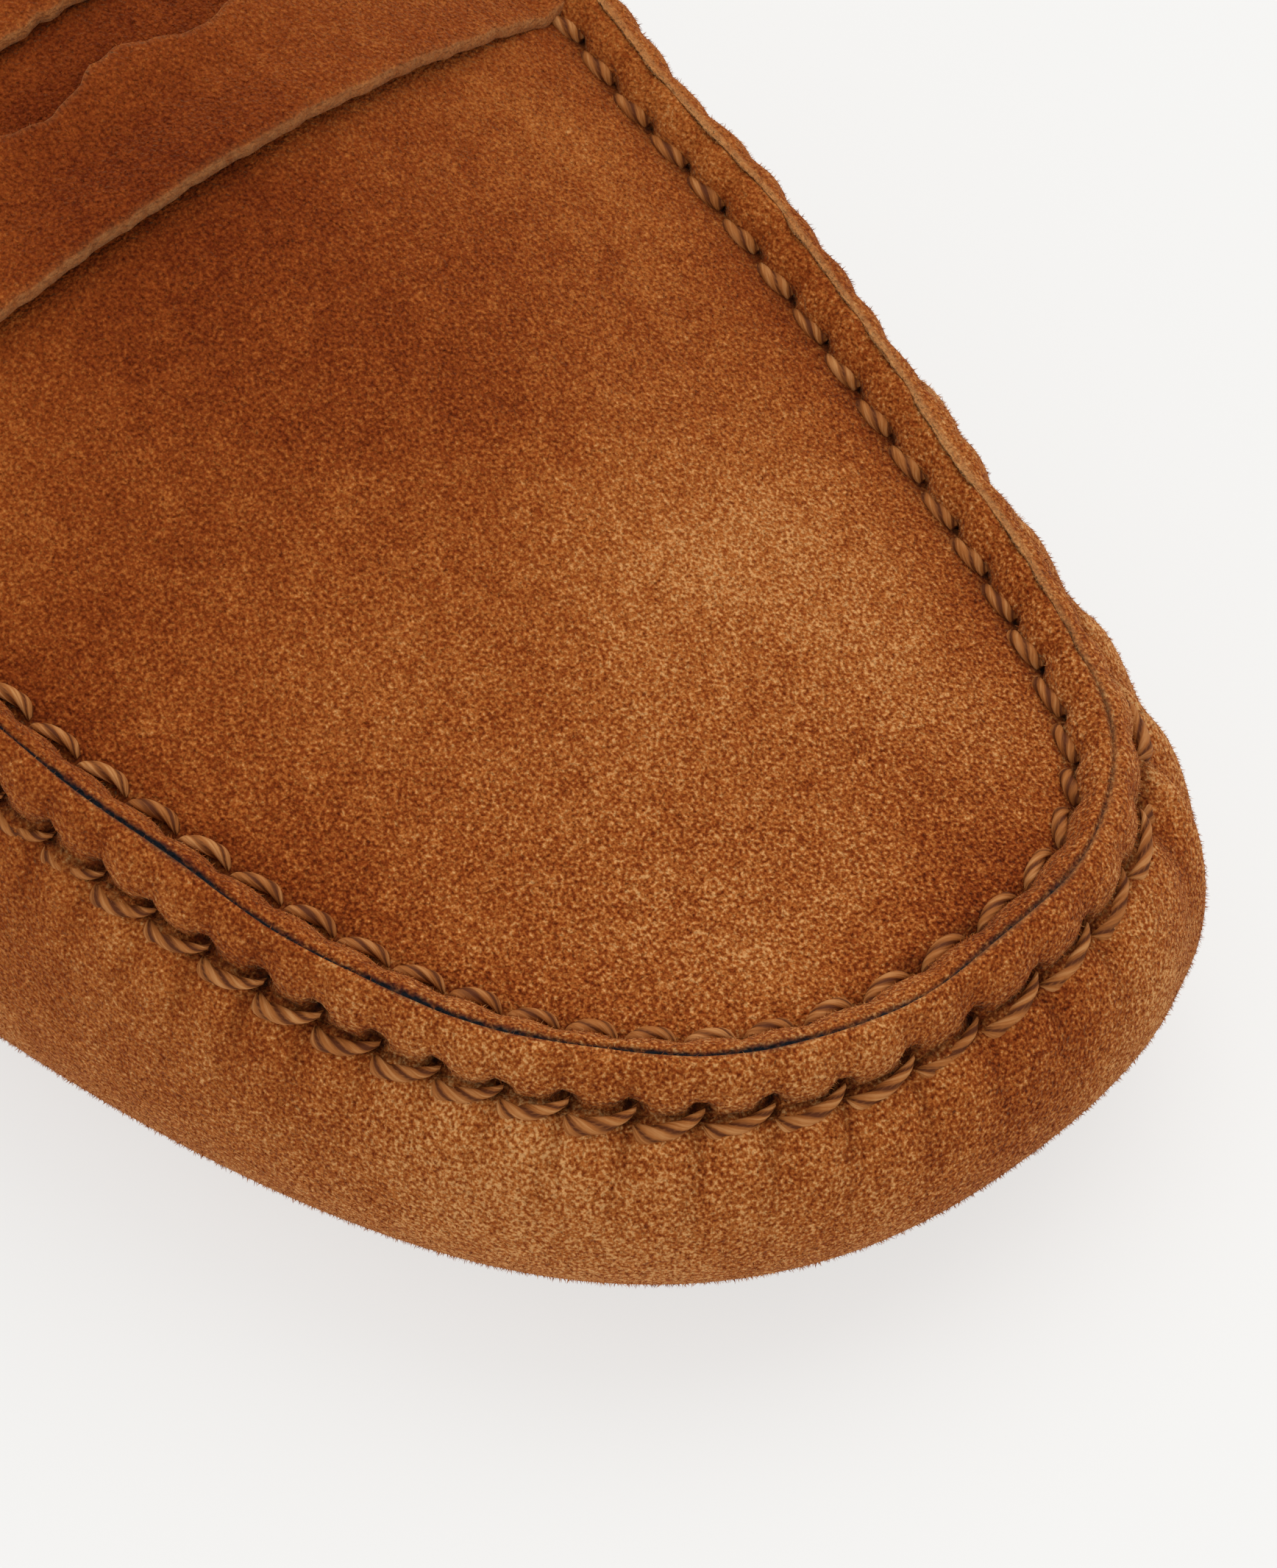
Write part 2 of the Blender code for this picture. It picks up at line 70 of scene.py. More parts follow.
def node(tree, kind, inputs=None, **settings):
    """A node with its settings. Each input is given a value, or the socket that it is linked from."""
    made = tree.nodes.new(kind)
    for name, value in settings.items():
        setattr(made, name, value)
    for key, value in (inputs or {}).items():
        if isinstance(value, bpy.types.NodeSocket):
            tree.links.new(value, made.inputs[key])
        else:
            made.inputs[key].default_value = value
    return made


# %% [markdown]
# ## Camera
# The photograph looks down at about 49 degrees from the toe's outer side, with a long lens.
# Its distance and its lens come from the size of the stitches near to it and far from it.

# %% Camera
CAMERA_TURN = math.radians(40.44)
CAMERA_TILT = math.radians(48.98)
CAMERA_DISTANCE = 450.9 * MM
CAMERA_LENS = 131.5
SIGHT_POINT = Vector((0.1034, 0.0023, 0.0260))

back = Vector(
    (
        math.cos(CAMERA_TURN) * math.cos(CAMERA_TILT),
        -math.sin(CAMERA_TURN) * math.cos(CAMERA_TILT),
        math.sin(CAMERA_TILT),
    )
)
camera_data = bpy.data.cameras.new("camera")
camera_data.lens = CAMERA_LENS
camera_data.clip_start = 0.01
camera = bpy.data.objects.new("camera", camera_data)
bpy.context.scene.collection.objects.link(camera)
camera.location = SIGHT_POINT + back * CAMERA_DISTANCE
camera.rotation_euler = (-back).to_track_quat("-Z", "Y").to_euler()
bpy.context.scene.camera = camera
bpy.context.scene.view_settings.view_transform = "Standard"
print("camera at", [round(value, 3) for value in camera.location])

# %% [markdown]
# ## The last
# A shoemaker's last is the form that the upper is pulled over. Here it is a short table, with
# a row for each station from the heel to the toe, and a closed cubic curve runs through them.
# The same table made the frame's solids, so that the fine surface lies where they do.

# %% Sizes and stations
LENGTH = 0.288
BALL_WIDTH = 0.100
HEEL_WIDTH = 0.069
TOE_SWING = 0.007
BACK_HEIGHT = 0.070
SIDE_HEIGHT = 0.051
THROAT_HEIGHT = 0.054
TOE_SEAM_HEIGHT = 0.026
WALL_THICKNESS = 0.0022
MARGIN_WIDTH = 0.012
WALL_TUCK = 0.010
HEEL_TUCK = 0.007
SEAM_SET_BACK = 0.0050
COLLAR_LEAN = 0.009
VAMP_LENGTH = 0.137
TONGUE_LENGTH = 0.019
TONGUE_LIFT = 0.002
RIDGE_WIDTH = 0.0052
RIDGE_HEIGHT = 0.0050
RIDGE_INNER_FOOT = 0.0022
INSOLE_THICKNESS = 0.0030
OUTSOLE_THICKNESS = 0.0035
OUTSOLE_SET_BACK = 0.0010
HEEL_HEIGHT = 0.010
HEEL_LENGTH = 0.068
HEEL_TAPER = 0.0015
TOE_SPRING = 0.0045
FLAT_START = 0.172
FLAT_END = 0.232
PIECE_GAP = 0.0003

Station = namedtuple("Station", "along outer inner top drop lean tuck belly shoulder crown")
LAST = [
    Station(0.000 * LENGTH, 0.000 * HEEL_WIDTH, 0.000 * HEEL_WIDTH, 1.000 * BACK_HEIGHT,
            0.000, 0.50 * COLLAR_LEAN, 1.0 * HEEL_TUCK, 0.40, 50, 0.40),
    Station(0.022 * LENGTH, 0.290 * HEEL_WIDTH, 0.290 * HEEL_WIDTH, 0.985 * BACK_HEIGHT,
            0.000, 0.55 * COLLAR_LEAN, 1.0 * HEEL_TUCK, 0.40, 50, 0.40),
    Station(0.075 * LENGTH, 0.430 * HEEL_WIDTH, 0.430 * HEEL_WIDTH, 0.910 * BACK_HEIGHT,
            0.001, 0.75 * COLLAR_LEAN, 1.0 * HEEL_TUCK, 0.40, 50, 0.40),
    Station(0.170 * LENGTH, 0.505 * HEEL_WIDTH, 0.495 * HEEL_WIDTH, 1.060 * SIDE_HEIGHT,
            0.002, 1.00 * COLLAR_LEAN, 1.1 * HEEL_TUCK, 0.40, 52, 0.40),
    Station(0.300 * LENGTH, 0.510 * HEEL_WIDTH, 0.460 * HEEL_WIDTH, 1.000 * SIDE_HEIGHT,
            0.003, 1.15 * COLLAR_LEAN, 0.9 * WALL_TUCK, 0.42, 56, 0.40),
    Station(0.430 * LENGTH, 0.395 * BALL_WIDTH, 0.330 * BALL_WIDTH, 1.070 * SIDE_HEIGHT,
            0.002, 1.45 * COLLAR_LEAN, 1.0 * WALL_TUCK, 0.42, 62, 0.40),
    Station(0.540 * LENGTH, 0.468 * BALL_WIDTH, 0.395 * BALL_WIDTH, 0.960 * THROAT_HEIGHT,
            0.002, 2.30 * SEAM_SET_BACK, 1.0 * WALL_TUCK, 0.42, 68, 0.34),
    Station(0.650 * LENGTH, 0.516 * BALL_WIDTH, 0.452 * BALL_WIDTH, 0.855 * THROAT_HEIGHT,
            0.001, 1.20 * SEAM_SET_BACK, 1.0 * WALL_TUCK, 0.44, 74, 0.24),
    Station(0.750 * LENGTH, 0.508 * BALL_WIDTH, 0.460 * BALL_WIDTH, 1.500 * TOE_SEAM_HEIGHT,
            0.000, 0.95 * SEAM_SET_BACK, 1.0 * WALL_TUCK, 0.46, 78, 0.17),
    Station(0.840 * LENGTH, 0.446 * BALL_WIDTH, 0.436 * BALL_WIDTH, 1.220 * TOE_SEAM_HEIGHT,
            0.000, 1.00 * SEAM_SET_BACK, 1.0 * WALL_TUCK, 0.48, 80, 0.13),
    Station(0.920 * LENGTH, 0.350 * BALL_WIDTH, 0.388 * BALL_WIDTH, 1.050 * TOE_SEAM_HEIGHT,
            0.000, 1.05 * SEAM_SET_BACK, 1.0 * WALL_TUCK, 0.50, 80, 0.11),
    Station(0.970 * LENGTH, 0.230 * BALL_WIDTH, 0.311 * BALL_WIDTH, 1.000 * TOE_SEAM_HEIGHT,
            0.000, 1.15 * SEAM_SET_BACK, 1.0 * WALL_TUCK, 0.50, 80, 0.10),
    Station(0.993 * LENGTH, 0.109 * BALL_WIDTH, 0.197 * BALL_WIDTH, 1.000 * TOE_SEAM_HEIGHT,
            0.000, 1.13 * SEAM_SET_BACK, 1.0 * WALL_TUCK, 0.50, 80, 0.10),
    Station(1.000 * LENGTH, -TOE_SWING, TOE_SWING, 1.000 * TOE_SEAM_HEIGHT,
            0.000, 1.13 * SEAM_SET_BACK, 1.0 * WALL_TUCK, 0.50, 80, 0.10),
]
LAST_GIRTH = len(LAST) - 1


def smooth_step(share):
    """0 to 1 with level ends."""
    share = np.clip(share, 0.0, 1.0)
    return share * share * (3.0 - 2.0 * share)


# %% The closed curve of the last
class ClosedCurve:
    """A closed cubic curve through rows of numbers, spaced by the plan distance between them."""

    def __init__(self, rows):
        self.rows = np.array(rows, float)
        self.around = np.vstack([self.rows, self.rows[:1]])
        self.steps = np.linalg.norm(np.diff(self.around[:, :2], axis=0), axis=1)
        count = len(self.rows)
        matrix = np.zeros((count, count))
        for i in range(count):
            matrix[i, i - 1] += self.steps[i - 1]
            matrix[i, i] += 2.0 * (self.steps[i - 1] + self.steps[i])
            matrix[i, (i + 1) % count] += self.steps[i]
        slopes = np.diff(self.around, axis=0) / self.steps[:, None]
        bends = np.linalg.solve(matrix, 6.0 * (slopes - np.roll(slopes, 1, axis=0)))
        self.bends = np.vstack([bends, bends[:1]])

    def at(self, knot):
        """The row at a knot number, and its slope."""
        knot = knot % len(self.rows)
        i = min(int(knot), len(self.rows) - 1)
        step, b = self.steps[i], knot - i
        a = 1.0 - b
        here, there = self.around[i], self.around[i + 1]
        bend, next_bend = self.bends[i], self.bends[i + 1]
        value = a * here + b * there + ((a**3 - a) * bend + (b**3 - b) * next_bend) * step**2 / 6.0
        slope = (there - here) / step + ((3 * b * b - 1) * next_bend - (3 * a * a - 1) * bend) * step / 6.0
        return value, slope


last_rows = [[s.along, -s.outer, s.top - s.drop, *s[5:]] for s in LAST]
last_rows += [[s.along, s.inner, s.top, *s[5:]] for s in LAST[-2:0:-1]]
CURVE = ClosedCurve(last_rows)
upper_low, upper_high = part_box("upper")
Place = namedtuple("Place", "x y out_x out_y top lean tuck belly shoulder crown along")


def knot_of(girth, side):
    """The knot number at a girth from 0, the heel, to LAST_GIRTH, the toe, on a side, -1 outer or +1 inner."""
    return girth if side < 0 else 2 * LAST_GIRTH - girth


widest = np.array([CURVE.at(k)[0][:2] for k in np.linspace(0.0, len(last_rows), 2000)])
SHIFT_X = upper_low.x - widest[:, 0].min()
SHIFT_Y = (upper_low.y + upper_high.y) / 2.0 - (widest[:, 1].min() + widest[:, 1].max()) / 2.0


def place(girth, side):
    """The last at a girth, set where the frame's upper lies."""
    row, slope = CURVE.at(knot_of(girth, side))
    turn = math.hypot(slope[0], slope[1])
    return Place(row[0] + SHIFT_X, row[1] + SHIFT_Y, slope[1] / turn, -slope[0] / turn, *row[2:], row[0])


print("the last's widest line is", round((widest[:, 1].max() - widest[:, 1].min()) / MM, 1), "mm across")


# %% Heights under the foot
def sole_underside(along):
    """Height above the floor of the outsole's lower face, along metres from the heel."""
    arch = 1.0 - smooth_step((along - HEEL_LENGTH) / (FLAT_START - HEEL_LENGTH))
    spring = np.clip((along - FLAT_END) / (LENGTH - FLAT_END), 0.0, 1.0)
    return HEEL_HEIGHT * arch + TOE_SPRING * spring**2


def feather_height(along):
    """Height of the upper's lowest face, where it lies on the outsole."""
    return sole_underside(along) + OUTSOLE_THICKNESS + PIECE_GAP


def inset_point(spot, inset, height):
    """The point at that inset from the widest line, square to it in plan."""
    return (spot.x - spot.out_x * inset, spot.y - spot.out_y * inset, height)


def feather_under(spot, inset):
    """Height of the upper's lowest face at an inset from the widest line."""
    return feather_height(spot.along - spot.out_x * inset)


# %% [markdown]
# ## The upper's section
# The wall turns in under the foot, swells to the widest line, rounds over its shoulder and
# ends at the seam. There its edge turns up against the apron's edge, and the two stand as a
# ridge. The section is a list of (inset, height) pairs, and depth moves it into the leather.

# %% Section of the wall and of the raised seam
ARC_ROWS = 12
SHOULDER_ROWS = 20
RIDGE_ROWS = 28


def wall_section(spot, depth, arc_rows, shoulder_rows):
    """(inset, height) pairs from the turned-in margin to the wall's top edge."""
    low = feather_under(spot, spot.tuck)
    middle = low + spot.belly * (spot.top - low)
    edge = spot.tuck + MARGIN_WIDTH
    section = [(edge, feather_under(spot, edge) + depth)]
    for i in range(arc_rows + 1):
        turn = math.radians(90.0 * (1.0 - i / arc_rows))
        section.append(
            (
                spot.tuck - (spot.tuck - depth) * math.cos(turn),
                middle - (middle - low - depth) * math.sin(turn),
            )
        )
    full = math.radians(spot.shoulder)
    deep, tall = spot.lean / (1.0 - math.cos(full)), (spot.top - middle) / math.sin(full)
    for i in range(1, shoulder_rows + 1):
        turn = full * i / shoulder_rows
        across, up = math.cos(turn) / deep, math.sin(turn) / tall
        size = math.hypot(across, up)
        section.append(
            (
                deep * (1.0 - math.cos(turn)) + depth * across / size,
                middle + tall * math.sin(turn) - depth * up / size,
            )
        )
    return section


# The ridge's section as shares of its width and of its height, from the outer foot to the
# inner foot. The outer half is the wall's turned-up edge, and the inner half is the apron's.
RIDGE_OUTLINE = [
    (-0.02, 0.00), (-0.01, 0.14), (-0.03, 0.32), (0.00, 0.52), (0.06, 0.72), (0.16, 0.89),
    (0.27, 0.98), (0.36, 0.99), (0.42, 0.90), (0.48, 0.98), (0.58, 0.965), (0.70, 0.88),
    (0.83, 0.74), (0.92, 0.60), (1.00, 0.44),
]
CREST = 8
CREST_SHARE = CREST / (len(RIDGE_OUTLINE) - 1)


def ridge_section(spot, rows, sway=0.0):
    """(inset, height) pairs over the ridge, after its outer foot. sway moves the crest across."""
    shares = np.linspace(0.0, len(RIDGE_OUTLINE) - 1, rows + 1)[1:]
    stations = np.arange(len(RIDGE_OUTLINE))
    across = np.interp(shares, stations, [p[0] for p in RIDGE_OUTLINE])
    up = np.interp(shares, stations, [p[1] for p in RIDGE_OUTLINE])
    across = across + sway * np.exp(-(((shares - CREST) / 2.5) ** 2))
    return [(spot.lean + RIDGE_WIDTH * a, spot.top + RIDGE_HEIGHT * b) for a, b in zip(across, up)]


# %% [markdown]
# ## Stops round the last
# The seam is cut into equal steps from the throat to the toe on each side, so that the rows
# are as fine as the nap and the gathers need where they show. The rear takes longer steps.

# %% Stops
SEAM_STEPS = 190
REAR_STEPS = 70
throat_low, throat_high = 0.0, float(LAST_GIRTH)
for _ in range(50):
    half_way = (throat_low + throat_high) / 2.0
    if place(half_way, -1).along < LENGTH - VAMP_LENGTH:
        throat_low = half_way
    else:
        throat_high = half_way
THROAT_GIRTH = throat_low


def even_girths(side, first, last, steps):
    """Girths between two that step evenly along the wall's top edge, and the length between them."""
    girths = np.linspace(first, last, 1500)
    spots = [place(girth, side) for girth in girths]
    edge = np.array([inset_point(spot, spot.lean, spot.top) for spot in spots])
    run = np.concatenate([[0.0], np.cumsum(np.linalg.norm(np.diff(edge, axis=0), axis=1))])
    return np.interp(np.linspace(0.0, run[-1], steps + 1), run, girths), run[-1]


seam_girths, seam_lengths, rear_girths = {}, {}, {}
for side in (-1, 1):
    seam_girths[side], seam_lengths[side] = even_girths(side, THROAT_GIRTH, LAST_GIRTH, SEAM_STEPS)
    rear_girths[side], _ = even_girths(side, 0.0, THROAT_GIRTH, REAR_STEPS)
stops = [(g, -1) for g in rear_girths[-1][:-1]] + [(g, -1) for g in seam_girths[-1]]
stops += [(g, 1) for g in seam_girths[1][-2::-1]] + [(g, 1) for g in rear_girths[1][-2:0:-1]]
spots = [place(*stop) for stop in stops]
FIRST_SEWN, LAST_SEWN = REAR_STEPS, REAR_STEPS + 2 * SEAM_STEPS
seam_run = np.concatenate(
    [
        np.linspace(-seam_lengths[-1], 0.0, SEAM_STEPS + 1),
        np.linspace(0.0, seam_lengths[1], SEAM_STEPS + 1)[1:],
    ]
)
print("the seam runs", round(sum(seam_lengths.values()) / MM), "mm round the apron")

# %% [markdown]
# ## Stitch places
# The sewer's stitches are about 5 mm long on the sides and a little longer round the toe.
# Their places are worked out once, because the holes, the gathers and the thread share them.
# Places are measured along the seam from the toe, negative on the outer side.

# %% Stitch places
STITCH = 0.0050
TOE_STITCH = 0.0014
TOE_STITCH_PLACE = 0.004
TOE_STITCH_SPREAD = 0.022
FIRST_STITCH = 0.0029
SEAM_END = 0.004


def stitch_length(run):
    """Length of a stitch at a place along the seam."""
    return STITCH + TOE_STITCH * math.exp(-(((run - TOE_STITCH_PLACE) / TOE_STITCH_SPREAD) ** 2))


holes = [FIRST_STITCH]
while holes[-1] < seam_lengths[1] - SEAM_END:
    holes.append(holes[-1] + stitch_length(holes[-1]))
while holes[0] > SEAM_END - seam_lengths[-1]:
    holes.insert(0, holes[0] - stitch_length(holes[0]))
holes = np.array(holes[1:-1])
print(len(holes), "stitches")


def stitch_phase(run):
    """How far along its stitch each place is, from 0 at one hole to 1 at the next."""
    return np.interp(run, holes, np.arange(len(holes))) % 1.0


# %% [markdown]
# ## Gathers and creases
# The wall is longer than the apron's edge that it is sewn to, so it is gathered: each stitch
# pulls a dimple, and the spare leather stands between them. On the inner side it stands in
# larger folds, every second stitch or so. They are listed one by one, as soft ridges and troughs
# that run down the wall from the seam.

# %% Folds
Fold = namedtuple("Fold", "run width height reach slant")
FOLDS = [
    Fold(0.1150, 0.0050, 0.0016, 0.016, 0.00),
    Fold(0.0900, 0.0130, -0.0019, 0.020, 0.00),
    Fold(0.0660, 0.0040, 0.0007, 0.014, -0.10),
    Fold(0.0735, 0.0028, -0.0003, 0.012, -0.10),
    Fold(0.0585, 0.0022, -0.0005, 0.012, -0.30),
    Fold(0.0535, 0.0026, 0.0004, 0.012, -0.30),
    Fold(0.0480, 0.0022, -0.0005, 0.011, -0.40),
    Fold(0.0435, 0.0022, 0.0005, 0.012, -0.50),
    Fold(0.0385, 0.0014, -0.0006, 0.011, -0.60),
    Fold(0.0345, 0.0015, 0.0006, 0.013, -0.60),
    Fold(0.0305, 0.0012, -0.0005, 0.010, -0.60),
    Fold(0.0270, 0.0014, 0.0006, 0.012, -0.55),
    Fold(0.0225, 0.0012, -0.0005, 0.009, -0.45),
    Fold(0.0160, 0.0016, 0.0003, 0.009, -0.30),
    Fold(-0.0120, 0.0030, -0.0003, 0.008, 0.0),
    Fold(-0.0390, 0.0060, 0.0004, 0.014, 0.0),
    Fold(-0.0560, 0.0050, -0.0004, 0.012, 0.10),
    Fold(-0.0720, 0.0060, 0.0004, 0.014, 0.10),
    Fold(-0.0900, 0.0060, -0.0004, 0.013, 0.0),
    Fold(-0.1100, 0.0070, 0.0005, 0.016, 0.0),
]


FOLD_SCALE = 1.25


def fold_height(run, down):
    """Rise of the wall's face at a place along the seam and a distance down from it."""
    rise = np.zeros_like(run + down)
    for fold in FOLDS:
        across = (run - fold.run - fold.slant * down) / (fold.width * (1.0 + 30.0 * down))
        fade = np.exp(-((down / fold.reach) ** 2))
        rise = rise + FOLD_SCALE * fold.height * np.exp(-(across**2)) * fade
    return rise


HOLE_DEPTH = 0.0011
HOLE_WIDTH = 0.0008
HOLE_RISE = 0.0006
GATHER = 0.00045
GATHER_REACH = 0.0060
# Painted shading: the tone rises on the relief's swells and falls in its hollows, by this much per metre of rise.
RELIEF_PAINTED_SHADING = 190.0


def hole_pull(run, across, depth=HOLE_DEPTH, width=HOLE_WIDTH, offset=0.0):
    """0 to depth at each hole: run is the place along the seam, and across the distance from the row."""
    nearest = holes[np.abs(run[..., None] - holes - offset).argmin(axis=-1)] + offset
    return depth * np.exp(-(((run - nearest) / width) ** 2) - (across / width) ** 2)


CREASE_DEPTH = 0.00028
CREASE_WIDTH = 0.00055
CREASE_REACH = 0.0042


def crease_at(run, across, reach):
    """The pinched crease that runs from each hole, 1 at the hole, slanting a little toward the toe."""
    lines = run + 0.15 * across
    nearest = holes[np.abs(lines[..., None] - holes).argmin(axis=-1)]
    depth = 0.65 + 0.35 * np.sin(nearest * 2300.0)
    return depth * np.exp(-(((lines - nearest) / CREASE_WIDTH) ** 2) - np.abs(across) / reach)


# %% [markdown]
# ## The upper
# The fine upper is one closed shell, as the frame's is: suede outside, lining inside. It is
# built from the rows of the section, in numpy, and the relief then moves each point of the
# outer face along its normal. The same places also write the attributes that the suede
# reads: shade for the painted shade round the holes, cut and raw for the ridge's cut edges,
# and tone for the dye with painted light and shade. One more, nap, is the share of the
# density that the nap is strewn with.

# %% Rows of the outer face
sections = []
for index, spot in enumerate(spots):
    section = wall_section(spot, 0.0, ARC_ROWS, SHOULDER_ROWS)
    sections.append([inset_point(spot, *pair) for pair in section])
outer_face = np.array(sections).transpose(1, 0, 2)
ridge_spots = spots[FIRST_SEWN : LAST_SEWN + 1]
sways = 0.045 * np.sin(seam_run / 0.0071) + 0.03 * np.sin(seam_run / 0.0029 + 1.0)
ridge_face = np.array(
    [
        [inset_point(spot, *pair) for pair in ridge_section(spot, RIDGE_ROWS, sway)]
        for spot, sway in zip(ridge_spots, sways)
    ]
).transpose(1, 0, 2)
foot_row = outer_face[-1, FIRST_SEWN : LAST_SEWN + 1]
ridge_face = np.concatenate([foot_row[None], ridge_face])

# On the inner side the strap's end is caught in the seam and pushes it outward.
CAUGHT = 0.0026
CAUGHT_START = 0.097
CAUGHT_RISE = 0.018
caught = CAUGHT * smooth_step((seam_run - CAUGHT_START) / CAUGHT_RISE)
caught *= 1.0 - smooth_step((seam_run - 0.128) / 0.015)
pushed = np.array([[s.out_x, s.out_y, 0.0] for s in ridge_spots]) * caught[:, None]
ridge_face += pushed
push_shares = smooth_step((np.arange(len(outer_face)) - ARC_ROWS) / SHOULDER_ROWS)
outer_face[:, FIRST_SEWN : LAST_SEWN + 1] += push_shares[:, None, None] * pushed
print("wall rows", outer_face.shape, "ridge rows", ridge_face.shape)


# %% Relief
def grid_normals(grid, closed):
    """Unit normals of a grid of points, rows by columns."""
    down = np.gradient(grid, axis=0)
    if closed:
        along = (np.roll(grid, -1, axis=1) - np.roll(grid, 1, axis=1)) / 2.0
    else:
        along = np.gradient(grid, axis=1)
    normals = np.cross(along, down)
    return normals / np.maximum(np.linalg.norm(normals, axis=2, keepdims=True), 1e-12)


def run_down(grid):
    """Distance down each column from its last row."""
    steps = np.linalg.norm(np.diff(grid, axis=0), axis=2)
    run = np.concatenate([np.zeros((1, grid.shape[1])), np.cumsum(steps[::-1], axis=0)])
    return run[::-1]


wall_run = np.full(len(spots), 9.0)
wall_run[FIRST_SEWN : LAST_SEWN + 1] = seam_run
ends = np.clip(
    np.minimum(seam_run - seam_run[0], seam_run[-1] - seam_run) / 0.012, 0.0, 1.0
)
wall_ends = np.zeros(len(spots))
wall_ends[FIRST_SEWN : LAST_SEWN + 1] = smooth_step(ends)

down = run_down(outer_face)
run_grid = np.broadcast_to(wall_run, down.shape)
swell = np.abs(np.sin(math.pi * stitch_phase(run_grid))) ** 0.8 - 0.55
relief = fold_height(run_grid, down) + GATHER * swell * np.exp(-((down / GATHER_REACH) ** 2))
relief -= hole_pull(run_grid, down + HOLE_RISE)
creases = crease_at(run_grid, down, CREASE_REACH)
relief -= CREASE_DEPTH * creases
relief *= wall_ends[None, :]
wall_normals = grid_normals(outer_face, closed=True)
outward = np.array([[s.out_x, s.out_y, 0.0] for s in spots])
if (wall_normals[ARC_ROWS] * outward).sum() < 0.0:
    wall_normals = -wall_normals
outer_fine = outer_face + wall_normals * relief[..., None]

ridge_across = np.linspace(0.0, 1.0, RIDGE_ROWS + 1)[:, None]
ridge_runs = np.broadcast_to(seam_run, ridge_face.shape[:2])
bulge = np.abs(np.sin(math.pi * stitch_phase(ridge_runs))) ** 0.8 - 0.55
outer_half = np.exp(-(((ridge_across - 0.22) / 0.17) ** 2))
inner_half = np.exp(-(((ridge_across - 0.88) / 0.12) ** 2))
phase_inner = stitch_phase(ridge_runs + 0.0015)
inner_bulge = np.abs(np.sin(math.pi * phase_inner)) ** 0.8 - 0.55
wave = 0.00018 * np.sin(ridge_runs / 0.0041) + 0.00014 * np.sin(ridge_runs / 0.0023 + 1.0)
ridge_relief = 0.00055 * bulge * outer_half + 0.00040 * inner_bulge * inner_half + wave * outer_half
down_ridge = run_down(ridge_face[::-1])[::-1]
up_ridge = run_down(ridge_face)
ridge_creases = crease_at(ridge_runs, down_ridge, 0.0016)
ridge_relief -= CREASE_DEPTH * ridge_creases
medial = smooth_step((seam_run - 0.026) / 0.016)
lip = 0.00035 + 0.00030 * np.sin(seam_run / 0.0013) * np.sin(seam_run / 0.0047) + 0.00012 * np.sin(seam_run / 0.0006)
ridge_relief += 0.0004 * medial * np.exp(-(((ridge_across - CREST_SHARE) / 0.05) ** 2))
ridge_relief += lip * medial * np.exp(-(((ridge_across - CREST_SHARE + 0.03) / 0.045) ** 2))
ridge_relief -= hole_pull(ridge_runs, down_ridge - HOLE_RISE)
ridge_relief -= hole_pull(ridge_runs, up_ridge, depth=0.0009, offset=-0.0015)
ridge_normals = grid_normals(ridge_face, closed=False)
if (ridge_normals[RIDGE_ROWS // 2, :, 2]).sum() < 0.0:
    ridge_normals = -ridge_normals
ridge_fine = ridge_face + ridge_normals * ridge_relief[..., None]
print("folds stand up to", round(relief.max() / MM, 2), "mm")


# %% The apron's surface
def apron_edges():
    """x, y, height and crown of the apron's edge on each side, from the throat to the toe."""
    edges = {}
    for side in (-1, 1):
        rows = []
        for girth in np.linspace(THROAT_GIRTH, LAST_GIRTH, 313):
            spot = place(girth, side)
            x, y, height = inset_point(spot, spot.lean + RIDGE_WIDTH, spot.top + RIDGE_INNER_FOOT)
            rows.append((x, y, height, spot.crown))
        edges[side] = np.array(rows).T
    return edges


EDGES = apron_edges()
ORDERS = {side: np.argsort(EDGES[side][0]) for side in EDGES}
THROAT_X = min(EDGES[-1][0][0], EDGES[1][0][0])


def edge_at(side, x):
    """y, height and crown of the apron's edge at x, run on behind the throat for the tongue."""
    along = EDGES[side][0]
    order = ORDERS[side]
    found = [np.interp(x, along[order], column[order]) for column in EDGES[side][1:]]
    behind = np.maximum(along[0] - x, 0.0)
    climb = (EDGES[side][2][0] - EDGES[side][2][26]) / (along[26] - along[0])
    found[1] = found[1] + behind * climb + TONGUE_LIFT * (behind / TONGUE_LENGTH) ** 2
    return found


def apron_height(x, y):
    """Height of the apron's or the tongue's outer face, without its relief."""
    (outer_y, outer_z, outer_crown), (inner_y, inner_z, inner_crown) = edge_at(-1, x), edge_at(1, x)
    width = np.maximum(inner_y - outer_y, PIECE_GAP)
    share = np.clip((y - outer_y) / width, 0.0, 1.0)
    level = outer_z + share * (inner_z - outer_z)
    rise = 0.5 * (outer_crown + inner_crown) * width / 2.0
    return level + rise * (1.0 - (2.0 * share - 1.0) ** 2)


# Soft swells and hollows of the apron, in the shoe's own frame
Swell = namedtuple("Swell", "x y length width height")
SWELLS = [
    Swell(0.100, 0.016, 0.020, 0.016, 0.0006),
    Swell(0.085, -0.016, 0.026, 0.014, -0.0004),
    Swell(0.060, 0.004, 0.022, 0.020, 0.0005),
    Swell(0.118, -0.004, 0.010, 0.020, -0.0005),
    Swell(0.070, 0.026, 0.024, 0.008, -0.0004),
]


def apron_relief(x, y):
    """Rise of the apron's swells and hollows."""
    rise = np.zeros_like(x + y)
    for swell in SWELLS:
        rise = rise + swell.height * np.exp(-(((x - swell.x) / swell.length) ** 2) - ((y - swell.y) / swell.width) ** 2)
    return rise
